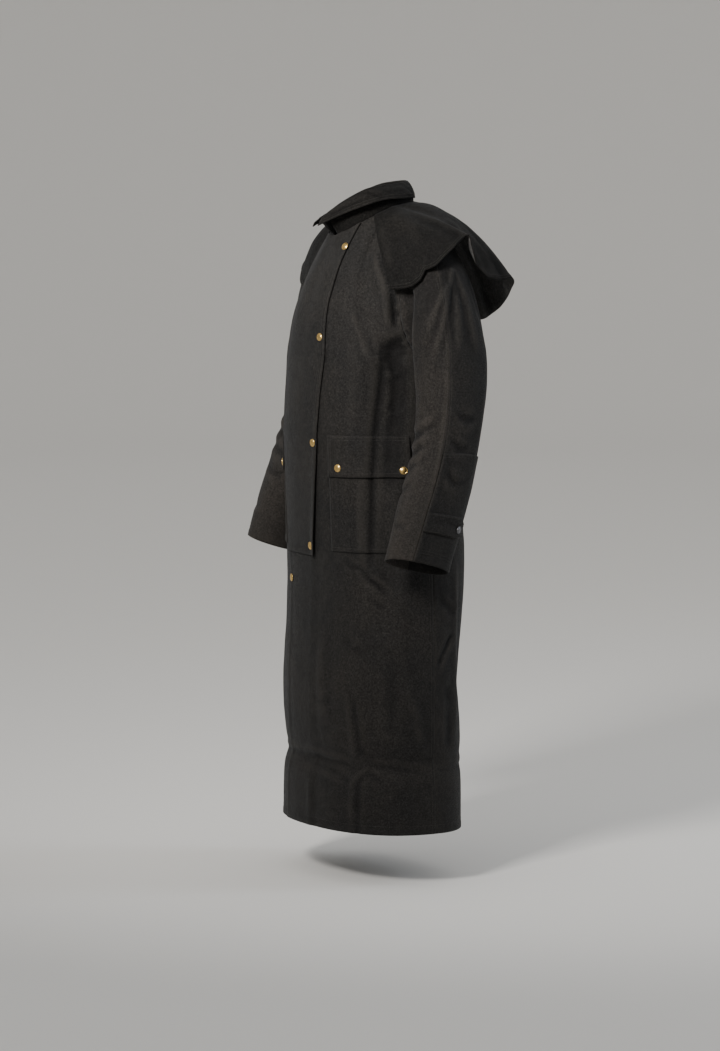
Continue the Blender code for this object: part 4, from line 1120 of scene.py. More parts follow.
def shell(node, cloth, material, seams=(), edges=(), lining=None):
    """Cloth with a rounded rim; seams are borders sewn to a neighbour, edges are finished ones.

    The cloth is its middle surface with the normals and the ridges.
    """
    middle, normals, ridge = cloth
    for side in seams:
        middle = pull_in(middle, side, SEAM_GAP / 2)
    rows, columns = middle.shape[:2]
    hem = np.clip(edge_nearness(middle, edges, HEM_REACH) * 4, 0, 1) * HEM_THICKENING
    outer = middle + normals * (WALL / 2 + hem[..., None])
    inner = middle - normals * (WALL / 2)
    name = node + "_cloth"
    skins[name] = (outer, normals)
    index = np.arange(rows * columns).reshape(rows, columns)
    border = np.concatenate([index[0], index[1:, -1], index[-1, -2::-1], index[-2:0:-1, 0]])
    inside = np.pad(index[1:-1, 1:-1], 1, mode="edge").ravel()[border]
    outer, inner, flat = (grid.reshape(-1, 3) for grid in (outer, inner, middle))
    away = unit(flat[border] - flat[inside])
    rim = (outer[border] + inner[border]) / 2 + away * WALL * RIM_BULGE
    points = np.vstack([outer, inner, rim])
    faces = shell_faces(index, border)
    first = points[faces[0]]
    if np.dot(np.cross(first[1] - first[0], first[3] - first[0]), normals[0, 0]) < 0:
        faces = faces[:, ::-1]
    mesh = smooth_mesh(name, (points - np.array([0, 0, HOLD_HEIGHT])).tolist(), faces.tolist())
    everywhere = np.concatenate([index.ravel(), index.ravel(), border])
    u, v = run_lengths(middle)
    cut_places = np.stack([u, v], axis=-1).reshape(-1, 2)[everywhere]
    corners = np.zeros(len(mesh.loops), dtype=np.int32)
    mesh.loops.foreach_get("vertex_index", corners)
    mesh.uv_layers.new(name="cut").data.foreach_set("uv", cut_places[corners].ravel())
    wear = edge_nearness(middle, tuple(edges) + tuple(seams), WEAR_REACH)
    high = np.zeros(wear.shape) if ridge is None else ridge
    # The ridge field holds fold height for rubbed wax on proud folds, and painted shade where it is
    # negative.
    for title, values in (("wear", wear), ("ridge", high)):
        field = mesh.attributes.new(title, "FLOAT", "POINT")
        field.data.foreach_set("value", values.ravel()[everywhere])
    mesh.materials.append(material)
    if lining is not None:
        mesh.materials.append(lining)
        cells = (rows - 1) * (columns - 1)
        slots = [0] * cells + [1] * cells + [0] * (len(faces) - 2 * cells)
        mesh.polygons.foreach_set("material_index", slots)
    cloth_pieces[name] = new_object(name, mesh)


print("shells get a wall of", WALL)

# %% [markdown]
# ## Waxed canvas
# Waxed cotton is a tight plain weave, nearly black, with a dull sheen where the wax sits. Wax
# cracks and rubs off on folds and edges, which show a little lighter and browner. The material
# is made from Object coordinates for the mottling and from the cloth's own UV map for the
# weave, so the threads follow each panel. The two attributes of the shell bring out edges and
# ridges, with the forearm's painted light among the ridges, and darken hollows and the sleeve
# under the cape as painted shade. One recipe is mixed in four tones: the coat's own, a lighter
# and browner one for the front of the sleeves as painted light, a blacker one for the cape and
# the collar as painted shade, and a lighter, greyer one for the cape's reverse as painted light
# in its shaded underside.

# %% Helpers for node trees
def node_tools(tree):
    """Two functions for a tree: add makes a node, and put sets or links one of its inputs.

    For add, a name in small letters is a setting of the node, a capital letter starts the
    name of an input, and _0 is the input with that number.
    """
    def put(node, key, value):
        place = int(key[1:]) if key[0] == "_" else key.replace("_", " ")
        if isinstance(value, bpy.types.NodeSocket):
            tree.links.new(value, node.inputs[place])
        else:
            node.inputs[place].default_value = value

    def add(kind, **values):
        node = tree.nodes.new(kind)
        for key, value in values.items():
            if key[0].islower():
                setattr(node, key, value)
            else:
                put(node, key, value)
        return node

    return add, put


def new_material(name):
    """A material, its shader and the two functions for its tree."""
    made = bpy.data.materials.new(name)
    made.use_nodes = True
    return made, made.node_tree.nodes["Principled BSDF"], *node_tools(made.node_tree)


def ramp(add, value, stops):
    """A colour ramp over a value; stops are pairs of a position and a grey or a colour."""
    node = add("ShaderNodeValToRGB", Fac=value)
    elements = node.color_ramp.elements
    while len(elements) < len(stops):
        elements.new(0.5)
    for element, (place, colour) in zip(elements, stops):
        element.position = place
        element.color = (colour, colour, colour, 1) if isinstance(colour, float) else (*colour, 1)
    return node.outputs["Color"]


def blend(add, kind, share, first, second):
    """Two colours mixed; share may be a number or a socket."""
    node = add("ShaderNodeMix", data_type="RGBA", blend_type=kind, _0=share, _6=first, _7=second)
    return node.outputs[2]


def maths(add, kind, first, second=0.0):
    """One number made from two."""
    return add("ShaderNodeMath", operation=kind, _0=first, _1=second).outputs[0]


def cloudy(add, scale, detail, roughness=0.5):
    """An uneven grey pattern over the object; a greater scale gives smaller spots."""
    place = add("ShaderNodeTexCoord").outputs["Object"]
    node = add("ShaderNodeTexNoise", Vector=place, Scale=scale, Detail=detail, Roughness=roughness)
    return node.outputs["Fac"]


# %% The cloth's material
Tones = namedtuple("Tones", "base warm rubbed")
COAT_TONES = Tones((0.0092, 0.0088, 0.0085), (0.0125, 0.0114, 0.0103), (0.030, 0.027, 0.024))
# Painted light: the front of the sleeves is the coat's canvas painted lighter and browner, for the
# light that falls on it.
LIT_SLEEVE_TONES = Tones((0.0128, 0.0117, 0.0107), (0.0172, 0.0151, 0.0133), (0.038, 0.033, 0.029))
# Painted shade: the cape and the collar are the coat's canvas painted blacker.
SHADED_CAPE_TONES = Tones((0.0056, 0.0054, 0.0052), (0.0074, 0.0069, 0.0063), (0.017, 0.0156, 0.0142))
# Painted light: the cape's reverse is painted lighter, for light in its shaded underside.
LIT_REVERSE_TONES = Tones((0.040, 0.039, 0.038), (0.048, 0.046, 0.044), COAT_TONES.rubbed)
# Painted shade: hollows of the relief are multiplied with this grey.
HOLLOW_PAINTED_SHADE = (0.42, 0.42, 0.44, 1)
SHEEN_TINT = (0.62, 0.66, 0.72, 1)
CANVAS_SHINE = 0.10
CAPE_SHINE = 0.045
THREADS_PER_METRE = 820


def woven(add):
    """The height of a plain weave, with threads along both directions of the cut."""
    cut_places = add("ShaderNodeUVMap", uv_map="cut").outputs["UV"]
    split = add("ShaderNodeSeparateXYZ", Vector=cut_places)
    turns = THREADS_PER_METRE * 2 * math.pi
    warp, weft = (
        maths(add, "SINE", maths(add, "MULTIPLY", split.outputs[k], turns)) for k in (0, 1)
    )
    return maths(add, "MULTIPLY", warp, weft)


def canvas(name, tones, shine=CANVAS_SHINE):
    """Waxed canvas in a base tone with warmer patches, rubbed edges, lighter folds and painted
    shade in hollows.
    """
    made, shader, add, put = new_material(name)
    patches, grain = cloudy(add, 9.0, 4.0, 0.62), cloudy(add, 340.0, 3.0, 0.7)
    cracks, mottle = cloudy(add, 55.0, 6.0, 0.72), cloudy(add, 190.0, 3.0, 0.65)
    wear = add("ShaderNodeAttribute", attribute_name="wear").outputs["Fac"]
    high = add("ShaderNodeAttribute", attribute_name="ridge").outputs["Fac"]
    rub = maths(add, "MULTIPLY", wear, ramp(add, cracks, ((0.36, 0.0), (0.66, 1.0))))
    proud = maths(add, "MAXIMUM", high)
    hollow = maths(add, "MAXIMUM", maths(add, "MULTIPLY", high, -1.0))
    # Proud folds show rubbed wax; the forearm's marked ridge takes the same lighter mix as painted
    # light.
    folds = maths(add, "MULTIPLY", proud, ramp(add, cracks, ((0.30, 0.25), (0.70, 1.0))))
    base, warm, worn_and_lit_tone = ((*tone, 1) for tone in tones)
    colour = blend(add, "MIX", ramp(add, patches, ((0.38, 0.0), (0.68, 1.0))), base, warm)
    for pattern, stops in (
        (grain, ((0.30, 0.35), (0.70, 1.9))),
        (mottle, ((0.34, 0.70), (0.66, 1.36))),
    ):
        colour = blend(add, "MULTIPLY", 1.0, colour, ramp(add, pattern, stops))
    # Painted shade: hollows, deep troughs and the sleeve under the cape are darkened here.
    colour = blend(add, "MULTIPLY", maths(add, "MULTIPLY", hollow, 0.85), colour, HOLLOW_PAINTED_SHADE)
    for place, share in ((rub, 0.18), (folds, 0.45)):
        colour = blend(add, "MIX", maths(add, "MULTIPLY", place, share), colour, worn_and_lit_tone)
    put(shader, "Base Color", colour)
    put(shader, "Roughness", ramp(add, cracks, ((0.25, 0.56), (0.75, 0.74))))
    shader.inputs["Specular IOR Level"].default_value = shine
    shader.inputs["Sheen Weight"].default_value = shine / 2
    shader.inputs["Sheen Roughness"].default_value = 0.45
    shader.inputs["Sheen Tint"].default_value = SHEEN_TINT
    slubs = maths(add, "ADD", maths(add, "MULTIPLY", woven(add), 0.5), grain)
    fine = add("ShaderNodeBump", Strength=0.45, Distance=0.0006, Height=slubs).outputs["Normal"]
    coarse = add("ShaderNodeBump", Strength=0.50, Distance=0.0022, Height=cracks, Normal=fine)
    put(shader, "Normal", coarse.outputs["Normal"])
    return made


coat_cloth = canvas("waxed canvas", COAT_TONES)
lit_sleeve_cloth = canvas("waxed canvas of the sleeve's front with painted light", LIT_SLEEVE_TONES)
shaded_cape_cloth = canvas("waxed canvas of the cape with painted shade", SHADED_CAPE_TONES, CAPE_SHINE)
lit_cape_reverse = canvas("waxed canvas, reverse of the cape with painted light", LIT_REVERSE_TONES)
print("materials", [m.name for m in bpy.data.materials if "canvas" in m.name])

# %% [markdown]
# ## Cutting the panels
# The fronts lap over each other, the storm flap lies over the lap, and the pockets lie on the
# fronts. Each is a part of the same grid, lifted by the thickness of what lies under it. The
# numbers of the columns count from the right side seam.

# %% Fronts and back
ALL_ROWS = (0, TOP_ROW)
TOP, BOTTOM, START, END = "last_row", "first_row", "first_column", "last_column"
ALL_SIDES = (BOTTOM, TOP, START, END)
front_left_lift = np.zeros(front.shape[:2])
front_left_lift[:, :FRONT[13] + 1] = LAYER
front_left_lift[:, FRONT[13]:FRONT[15] + 1] = np.linspace(LAYER, 0, FRONT[15] - FRONT[13] + 1)


def cut(lift, rows, columns):
    """Part of the front between old rows and columns, lifted: middle, normals and ridges."""
    part = (slice(ROW[rows[0]], ROW[rows[1]] + 1), slice(FRONT[columns[0]], FRONT[columns[1]] + 1))
    lift = lift[part] if np.ndim(lift) else lift
    middle = front[part] + front_normals[part] * np.asarray(lift)[..., None]
    return middle, front_normals[part], front_ridge[part]


left_front = cut(front_left_lift, ALL_ROWS, LAP_COLUMNS)
shell("front_left", left_front, coat_cloth, (END, TOP), (BOTTOM, START))
right_front = cut(0.0, ALL_ROWS, UNDER_COLUMNS)
shell("front_right", right_front, coat_cloth, (START, TOP), (BOTTOM, END))
shell("back", (back, back_normals, back_ridge), coat_cloth, (START, END, TOP), (BOTTOM,))
print("panels", {name: len(piece.data.polygons) for name, piece in cloth_pieces.items()})

# %% Storm flap
STAND_OFF_FROM = 0.90
STAND_OFF_OVER = 0.28
flap_lift = np.full(front.shape[:2], 2 * LAYER)
first, after = FRONT[8], FRONT[9]
flap_lift[:, first:after + 1] = np.linspace(LAYER, 2 * LAYER, after - first + 1)
fall_off = np.clip((STAND_OFF_FROM - front[:, FRONT[15], 2]) / STAND_OFF_OVER, 0, 1)
share = np.clip((np.arange(front.shape[1]) - FRONT[13]) / (FRONT[15] - FRONT[13]), 0, 1) ** 1.6
flap_lift += FLAP_STAND_OFF * fall_off[:, None] * share[None]
middle, normals, ridge = cut(flap_lift, FLAP_ROWS, FLAP_COLUMNS)
middle = pull_in(middle, TOP, FLAP_TOP_GAP * 0.5)
shell("storm_flap", (middle, normals, ridge), coat_cloth, (), ALL_SIDES)
print("storm flap", middle.shape)

# %% Pockets and pocket flaps
flap_low, flap_top = POCKET_FLAP_ROWS
pocket_lift = np.full(front.shape[:2], 2 * LAYER)
seam_rows = slice(ROW[flap_top - 1], ROW[flap_top] + 1)
down_to_seam = np.linspace(2 * LAYER, LAYER, seam_rows.stop - seam_rows.start)
pocket_lift[seam_rows] = down_to_seam[:, None]
open_rows = np.arange(ROW[flap_low], ROW[flap_low + 2])
pocket_lift[open_rows] += (POCKET_FLAP_LIFT * np.linspace(1, 0, len(open_rows)) ** 1.5)[:, None]
for side, columns in (("left", LEFT_POCKET_COLUMNS), ("right", RIGHT_POCKET_COLUMNS)):
    shell("pocket_" + side, cut(LAYER, POCKET_ROWS, columns), coat_cloth, (), (BOTTOM, START, END))
    flap = cut(pocket_lift, POCKET_FLAP_ROWS, columns)
    shell("pocket_flap_" + side, flap, coat_cloth, (), ALL_SIDES)
print("pockets", [name for name in cloth_pieces if "pocket" in name])

# %% Sleeves with their elbow patches and cuff tabs
HALF = UPPER_STEPS + 1 - SEAM_SHIFT
TAB_TAPER = 0.45


def on_sleeve(cloth, rows, columns, layers):
    """Part of a sleeve's back half, lifted by a number of layers of cloth."""
    middle, normals, ridge = (field[rows, columns] for field in cloth)
    return middle + normals * layers * LAYER, normals, ridge


for side, sign in SIDES:
    whole = (sleeves[side], sleeve_normals[side], sleeve_ridges[side])
    middle, normals, ridge = (field[:, :ROUND[HALF - 1] + 1] for field in whole)
    # The front half gets the forearm's painted light in its ridge field.
    fore = (middle, normals, np.clip(ridge + rubbed, -1, 1))
    shell("sleeve_front_" + side, fore, lit_sleeve_cloth, (START, END), (TOP,))
    rear = [field[:, ROUND[HALF - 1]:][:, ::-1] for field in whole]
    shell("sleeve_back_" + side, rear, coat_cloth, (START, END), (TOP,))
    rows, columns = slice(SLEEVE_ROW[ELBOW_ROW], None), slice(0, ROUND[PATCH_COLUMNS] + 1)
    shell("elbow_patch_" + side, on_sleeve(rear, rows, columns, 1), coat_cloth, (), ALL_SIDES)
    rows = slice(SLEEVE_ROW[TAB_ROWS[0]], SLEEVE_ROW[TAB_ROWS[1]] + 1)
    tab, normals, ridge = on_sleeve(rear, rows, slice(0, ROUND[TAB_COLUMNS] + 1), 2)
    start = ROUND[TAB_COLUMNS - 1]
    for c in range(start, tab.shape[1]):
        share = 1 - TAB_TAPER * (c - start) / (tab.shape[1] - 1 - start)
        centre = (tab[0, c] + tab[-1, c]) / 2
        tab[:, c] = centre + (tab[:, c] - centre) * share
    shell("cuff_tab_" + side, (tab, normals, None), coat_cloth, (), ALL_SIDES)
print("sleeves", [name for name in cloth_pieces if "sleeve" in name])

# %% Collar and cape
# The collar and the cape take the canvas painted blacker as shade; the cape's inner skin takes the
# reverse painted lighter as light.
shell("collar_stand", (stand, stand_normals, None), shaded_cape_cloth, (), (START, END))
shell("collar_fall", (fall, fall_normals, fall_ridge), shaded_cape_cloth, (), (START, END, TOP))
shell("cape", (cape, cape_normals, cape_ridge), shaded_cape_cloth, (), (TOP,), lit_cape_reverse)
print("collar and cape", len(cloth_pieces), "shells in all")

# %% [markdown]
# ## Snaps
# A snap is a stamped cap of bright brass that is riveted to the cloth: a flat rolled rim, a
# groove and a low dome. One cap is turned from a profile, and Geometry Nodes set a copy of it
# on every marked point, turned to face the way the cloth faces there. The copies are realized,
# because a finished piece must be plain mesh.

# %% Where the snaps sit
Snap = namedtuple("Snap", "name panel columns column height")
SNAPS = table(Snap, (
    ("snap_flap_1", "storm_flap_cloth", FLAP_COLUMNS, 6.70, 1.222),
    ("snap_flap_2", "storm_flap_cloth", FLAP_COLUMNS, 6.35, 1.036),
    ("snap_flap_3", "storm_flap_cloth", FLAP_COLUMNS, 6.35, 0.817),
    ("snap_flap_4", "storm_flap_cloth", FLAP_COLUMNS, 5.55, 0.600),
    ("snap_lap", "front_left_cloth", LAP_COLUMNS, 0.34, 0.523),
    ("snap_pocket_left_front", "pocket_flap_left_cloth", LEFT_POCKET_COLUMNS, 0.80, 0.768),
    ("snap_pocket_left_back", "pocket_flap_left_cloth", LEFT_POCKET_COLUMNS, 5.50, 0.765),
    ("snap_pocket_right_front", "pocket_flap_right_cloth", RIGHT_POCKET_COLUMNS, 5.55, 0.765),
    ("snap_pocket_right_back", "pocket_flap_right_cloth", RIGHT_POCKET_COLUMNS, 0.50, 0.765),
))


def spot(name, columns, column, height):
    """The place at an old column number and a height on a piece, and the way it faces there."""
    outer, normals = skins[name]
    where = np.interp(columns[0] + column, np.arange(len(FRONT)), FRONT) - FRONT[columns[0]]
    line = between(outer.transpose(1, 0, 2), where)
    row = np.interp(height, line[:, 2], np.arange(len(line)))
    cell = (min(int(row), len(line) - 2), min(int(where), outer.shape[1] - 2))
    return between(line, row), normals[cell]


brass_spots = [spot(s.panel, s.columns, s.column, s.height) for s in SNAPS]
dark_spots = []
for side, sign in SIDES:
    outer, normals = skins["cuff_tab_" + side + "_cloth"]
    row, column = outer.shape[0] // 2, ROUND[TAB_COLUMNS - 1]
    dark_spots.append((outer[row, column], normals[row, column]))
print("snaps", len(brass_spots), "brass and", len(dark_spots), "dark")

# %% One cap and the tree that sets the copies
CAP_RADIUS = 0.0082
CAP_SIDES = 32
CAP_PROFILE = (
    (0.00, -0.0002), (0.90, -0.0002), (0.98, 0.0003), (1.00, 0.0010), (0.97, 0.0016),
    (0.90, 0.0019), (0.84, 0.0016), (0.79, 0.0015), (0.74, 0.0019), (0.62, 0.0025),
    (0.46, 0.0029), (0.28, 0.0031), (0.12, 0.0032), (0.00, 0.0032),
)


def turned_cap(name):
    """A cap turned from its profile, standing on the origin and facing up."""
    points, faces, rings = [], [], []
    for share, height in CAP_PROFILE:
        if share == 0.0:
            points.append((0, 0, height))
            rings.append([len(points) - 1])
            continue
        rings.append(list(range(len(points), len(points) + CAP_SIDES)))
        for k in range(CAP_SIDES):
            turn, radius = 2 * math.pi * k / CAP_SIDES, CAP_RADIUS * share
            points.append((radius * math.cos(turn), radius * math.sin(turn), height))
    for low, high in zip(rings, rings[1:]):
        for k in range(CAP_SIDES):
            n = (k + 1) % CAP_SIDES
            if len(low) == 1:
                faces.append((low[0], high[n], high[k]))
            elif len(high) == 1:
                faces.append((low[k], low[n], high[0]))
            else:
                faces.append((low[k], low[n], high[n], high[k]))
    return bpy.data.objects.new(name, smooth_mesh(name, points, faces))


def new_tree(name, inputs):
    """A Geometry Nodes tree with named inputs; gives the tree, the inputs and its add."""
    tree = bpy.data.node_groups.new(name, "GeometryNodeTree")
    tree.interface.new_socket("Geometry", in_out="INPUT", socket_type="NodeSocketGeometry")
    for title, kind, value in inputs:
        socket = tree.interface.new_socket(title, in_out="INPUT", socket_type="NodeSocket" + kind)
        if value is not None:
            socket.default_value = value
    tree.interface.new_socket("Geometry", in_out="OUTPUT", socket_type="NodeSocketGeometry")
    return tree, tree.nodes.new("NodeGroupInput").outputs, node_tools(tree)[0]


def facing_of(add):
    """The direction that was noted on each point."""
    node = add("GeometryNodeInputNamedAttribute", data_type="FLOAT_VECTOR", Name="facing")
    return node.outputs["Attribute"]


def keep_copies(add, copies, material):
    """The end of both trees: make the copies real, give them a material and hand them out."""
    real = add("GeometryNodeRealizeInstances", Geometry=copies.outputs["Instances"])
    paint = add("GeometryNodeSetMaterial", Geometry=real.outputs["Geometry"], Material=material)
    add("NodeGroupOutput", Geometry=paint.outputs["Geometry"])


def caps_tree():
    """Sets a copy of the cap on every point, turned to the point's own direction."""
    inputs = (("Cap", "Object", None), ("Metal", "Material", None), ("Size", "Float", 1.0))
    tree, given, add = new_tree("snaps on points", inputs)
    cap = add("GeometryNodeObjectInfo", Object=given["Cap"])
    turn = add("FunctionNodeAlignRotationToVector", axis="Z", Vector=facing_of(add))
    copies = add("GeometryNodeInstanceOnPoints", Points=given["Geometry"],
                 Instance=cap.outputs["Geometry"], Rotation=turn.outputs["Rotation"],
                 Scale=given["Size"])
    keep_copies(add, copies, given["Metal"])
    return tree


def run_tree(name, source, tree, values):
    """Runs a tree on a mesh and keeps the result as a plain mesh object."""
    modifier = source.modifiers.new("tree", "NODES")
    modifier.node_group = tree
    for socket in tree.interface.items_tree:
        if socket.in_out == "INPUT" and socket.name in values:
            modifier[socket.identifier] = values[socket.name]
    bpy.context.scene.collection.objects.link(source)
    bpy.context.view_layer.update()
    graph = bpy.context.evaluated_depsgraph_get()
    mesh = bpy.data.meshes.new_from_object(source.evaluated_get(graph))
    mesh.name = name
    bpy.data.objects.remove(source, do_unlink=True)
    return new_object(name, mesh)


def facing_marks(points, edges, facing):
    """Loose points or lines that know which way they face, for a tree to work on."""
    mesh = bpy.data.meshes.new("marks")
    mesh.from_pydata([tuple(p - np.array([0, 0, HOLD_HEIGHT])) for p in points], edges, [])
    field = mesh.attributes.new("facing", "FLOAT_VECTOR", "POINT")
    field.data.foreach_set("vector", np.array(facing).ravel())
    return bpy.data.objects.new("marks", mesh)


def metal(name, base, worn, roughness):
    """Stamped metal with a fine brushed grain and fingerprints."""
    made, shader, add, put = new_material(name)
    prints, grain = cloudy(add, 220.0, 5.0, 0.65), cloudy(add, 1800.0, 2.0)
    tarnish = ramp(add, prints, ((0.38, 0.0), (0.70, 1.0)))
    put(shader, "Base Color", blend(add, "MIX", tarnish, (*base, 1), (*worn, 1)))
    put(shader, "Roughness", ramp(add, prints, ((0.3, roughness), (0.7, roughness + 0.16))))
    shader.inputs["Metallic"].default_value = 1.0
    bump = add("ShaderNodeBump", Strength=0.15, Distance=0.0002, Height=grain)
    put(shader, "Normal", bump.outputs["Normal"])
    return made


DARK_CAP_SIZE = 0.95
brass = metal("stamped brass", (0.83, 0.58, 0.22), (0.52, 0.33, 0.11), 0.20)
dark_metal = metal("darkened metal", (0.17, 0.17, 0.18), (0.09, 0.09, 0.095), 0.34)
cap = turned_cap("cap")
caps = caps_tree()


def set_snaps(name, spots, material, size):
    """Snaps on a list of places and directions, as one piece."""
    places, facing = zip(*spots)
    values = {"Cap": cap, "Metal": material, "Size": size}
    return run_tree(name, facing_marks(places, [], facing), caps, values)


brass_snaps = set_snaps("brass_snaps", brass_spots, brass, 1.0)
dark_snaps = set_snaps("dark_snaps", dark_spots, dark_metal, DARK_CAP_SIZE)
bpy.data.objects.remove(cap, do_unlink=True)
print("snap faces", len(brass_snaps.data.polygons), len(dark_snaps.data.polygons))

# %% [markdown]
# ## Seams and stitches
# A coat like this is sewn with strong thread, in single rows at the hem and in double rows on
# every edge and flat seam. A painted line would look right from afar only, so each stitch is a
# small piece of thread. A line is found on a panel's outer skin at a distance from a border or
# a seam. Geometry Nodes walk along it in even steps and lay a stretched ball on each step,
# turned along the line, so thousands of stitches come from one small tree.

# %% A line beside a border or a seam
STITCH_PITCH = 0.0036
STITCH_LENGTH = 0.0027
THREAD_RADIUS = 0.00036
STITCH_SEED = 7
Seam = namedtuple("Seam", "way index offset trims", defaults=((0.0, 0.0),))


def sewn_line(name, seam):
    """Points and normals of a line on a piece's outer skin, beside a column or a row."""
    outer, normals = skins[name]
    if seam.way == "across":
        outer, normals = outer.transpose(1, 0, 2), normals.transpose(1, 0, 2)
    u, v = run_lengths(outer)
    line, facing = [], []
    for r, target in enumerate(u[:, seam.index] + seam.offset):
        line.append([np.interp(target, u[r], outer[r, :, k]) for k in range(3)])
        facing.append([np.interp(target, u[r], normals[r, :, k]) for k in range(3)])
    line, facing = np.array(line), unit(np.array(facing))
    lengths = distances_along(line)
    keep = (lengths >= seam.trims[0]) & (lengths <= lengths[-1] - seam.trims[1])
    return line[keep] + facing[keep] * THREAD_RADIUS * 0.5, facing[keep]


def stitch_lines(name):
    """All stitch lines of a piece as edges of one mesh that know which way they face."""
    points, edges, facing = [], [], []
    for seam in SEAMS[name]:
        line, ways = sewn_line(name + "_cloth", seam)
        edges += [(len(points) + k, len(points) + k + 1) for k in range(len(line) - 1)]
        points += list(line)
        facing += list(ways)
    return facing_marks(points, edges, facing)


BROAD, MIDDLE, NARROW = (0.004, 0.010), (0.003, 0.009), (0.002, 0.008)
CUFF_ROWS = (0.020, 0.026)


def both(way, index, offsets=BROAD, trims=(0.0, 0.0)):
    """A double row beside a border."""
    sign = -1 if index < 0 else 1
    return tuple(Seam(way, index, sign * offset, trims) for offset in offsets)


def single(way, *indices, offset=0.003):
    """One row beside each of some borders."""
    return tuple(Seam(way, index, -offset if index < 0 else offset) for index in indices)


HEM = single("across", 0, offset=0.018)
POCKET_SEAMS = both("down", 0, NARROW) + both("down", -1, NARROW) + both("across", 0, NARROW)
SEAMS = {
    "front_left": HEM + both("down", 0, trims=(0.01, 0.745)) + both("down", -1, NARROW),
    "front_right": HEM + both("down", 0, NARROW),
    "back": HEM + (Seam("down", BACK[9], 0.003), Seam("down", BACK[9], -0.003)),
    "storm_flap": both("down", -1) + both("across", 0) + both("down", 0),
    "cape": both("across", -1, MIDDLE),
    "collar_fall": both("across", -1, MIDDLE) + single("down", 0, -1, offset=0.004),
}
for side, sign in SIDES:
    SEAMS["pocket_" + side] = POCKET_SEAMS
    SEAMS["pocket_flap_" + side] = POCKET_SEAMS + both("across", -1, MIDDLE)
    cuff = both("across", -1, CUFF_ROWS)
    SEAMS["sleeve_front_" + side] = both("down", 0, NARROW) + cuff
    SEAMS["elbow_patch_" + side] = both("across", 0, NARROW) + both("down", -1, NARROW) + cuff
    SEAMS["cuff_tab_" + side] = single("across", 0, -1) + single("down", -1)
print("pieces with stitches", len(SEAMS))

# %% The tree that lays the stitches
BALL_SEGMENTS = 6
BALL_RINGS = 3
UNEVEN_LENGTHS = (0.82, 1.12)


def stitches_tree():
    """Walks along every line and lays a stretched ball of thread on each step."""
    inputs = (
        ("Pitch", "Float", STITCH_PITCH), ("Length", "Float", STITCH_LENGTH),
        ("Radius", "Float", THREAD_RADIUS), ("Seed", "Int", STITCH_SEED),
        ("Thread", "Material", None),
    )
    tree, given, add = new_tree("stitches on lines", inputs)
    curve = add("GeometryNodeMeshToCurve", Mesh=given["Geometry"])
    steps = add("GeometryNodeCurveToPoints", mode="LENGTH", Curve=curve.outputs["Curve"],
                Length=given["Pitch"])
    along = add("FunctionNodeAlignRotationToVector", axis="Z", Vector=steps.outputs["Tangent"])
    turned = add("FunctionNodeAlignRotationToVector", axis="X", pivot_axis="Z",
                 Rotation=along.outputs["Rotation"], Vector=facing_of(add))
    ball = add("GeometryNodeMeshUVSphere", Segments=BALL_SEGMENTS, Rings=BALL_RINGS, Radius=1.0)
    shortest, longest = UNEVEN_LENGTHS
    uneven = add("FunctionNodeRandomValue", data_type="FLOAT", _2=shortest, _3=longest,
                 Seed=given["Seed"])
    half = maths(add, "MULTIPLY", given["Length"], 0.5)
    size = add("ShaderNodeCombineXYZ", _0=given["Radius"], _1=given["Radius"],
               _2=maths(add, "MULTIPLY", half, uneven.outputs[1]))
    copies = add("GeometryNodeInstanceOnPoints", Points=steps.outputs["Points"],
                 Instance=ball.outputs["Mesh"], Rotation=turned.outputs["Rotation"],
                 Scale=size.outputs["Vector"])
    keep_copies(add, copies, given["Thread"])
    return tree


THREAD_TONES = ((0.016, 0.0148, 0.0136), (0.036, 0.033, 0.030))
thread, shader, add, put = new_material("thread")
fibre = cloudy(add, 420.0, 3.0, 0.6)
put(shader, "Base Color", ramp(add, fibre, ((0.3, THREAD_TONES[0]), (0.7, THREAD_TONES[1]))))
shader.inputs["Roughness"].default_value = 0.62
shader.inputs["Specular IOR Level"].default_value = 0.25
lay_stitches = stitches_tree()
stitch_pieces = {}
for name in SEAMS:
    lines = stitch_lines(name)
    stitch_pieces[name] = run_tree(name + "_stitches", lines, lay_stitches, {"Thread": thread})
print("stitch faces", sum(len(piece.data.polygons) for piece in stitch_pieces.values()))

# %% [markdown]
# ## Camera, floor and light
# The camera stands where the photograph was taken from: 60 degrees round from the front,
# eight metres away, with a long lens. The floor is plain and pale and lies a hand's width
# under the hem. A black coat shows its shape only by what it reflects, so a soft light stands
# in front and above, a cool one behind draws the far edge, and an even pale sky fills in.

# %% Camera
CAMERA_TURN = 60.0
CAMERA_DISTANCE = 8.0
CAMERA_HEIGHT = 1.40
AIM_HEIGHT = 0.633
LENS = 130.6
SHIFT = -0.0097


def turned_to(place, aim_at):
    """The rotation that points a camera or a light at a place."""
    return (Vector(aim_at) - Vector(place)).to_track_quat("-Z", "Y").to_euler()


camera_data = bpy.data.cameras.new("camera")
camera = new_object("camera", camera_data)
turn = math.radians(CAMERA_TURN)
x, y = CAMERA_DISTANCE * math.sin(turn), -CAMERA_DISTANCE * math.cos(turn)
camera.location = (x, y, CAMERA_HEIGHT - HOLD_HEIGHT)
camera.rotation_euler = turned_to(camera.location, (0, 0, AIM_HEIGHT - HOLD_HEIGHT))
camera_data.lens = LENS
camera_data.sensor_width = 36.0
camera_data.shift_x = SHIFT
bpy.context.scene.camera = camera
print("camera", [round(v, 3) for v in camera.location])

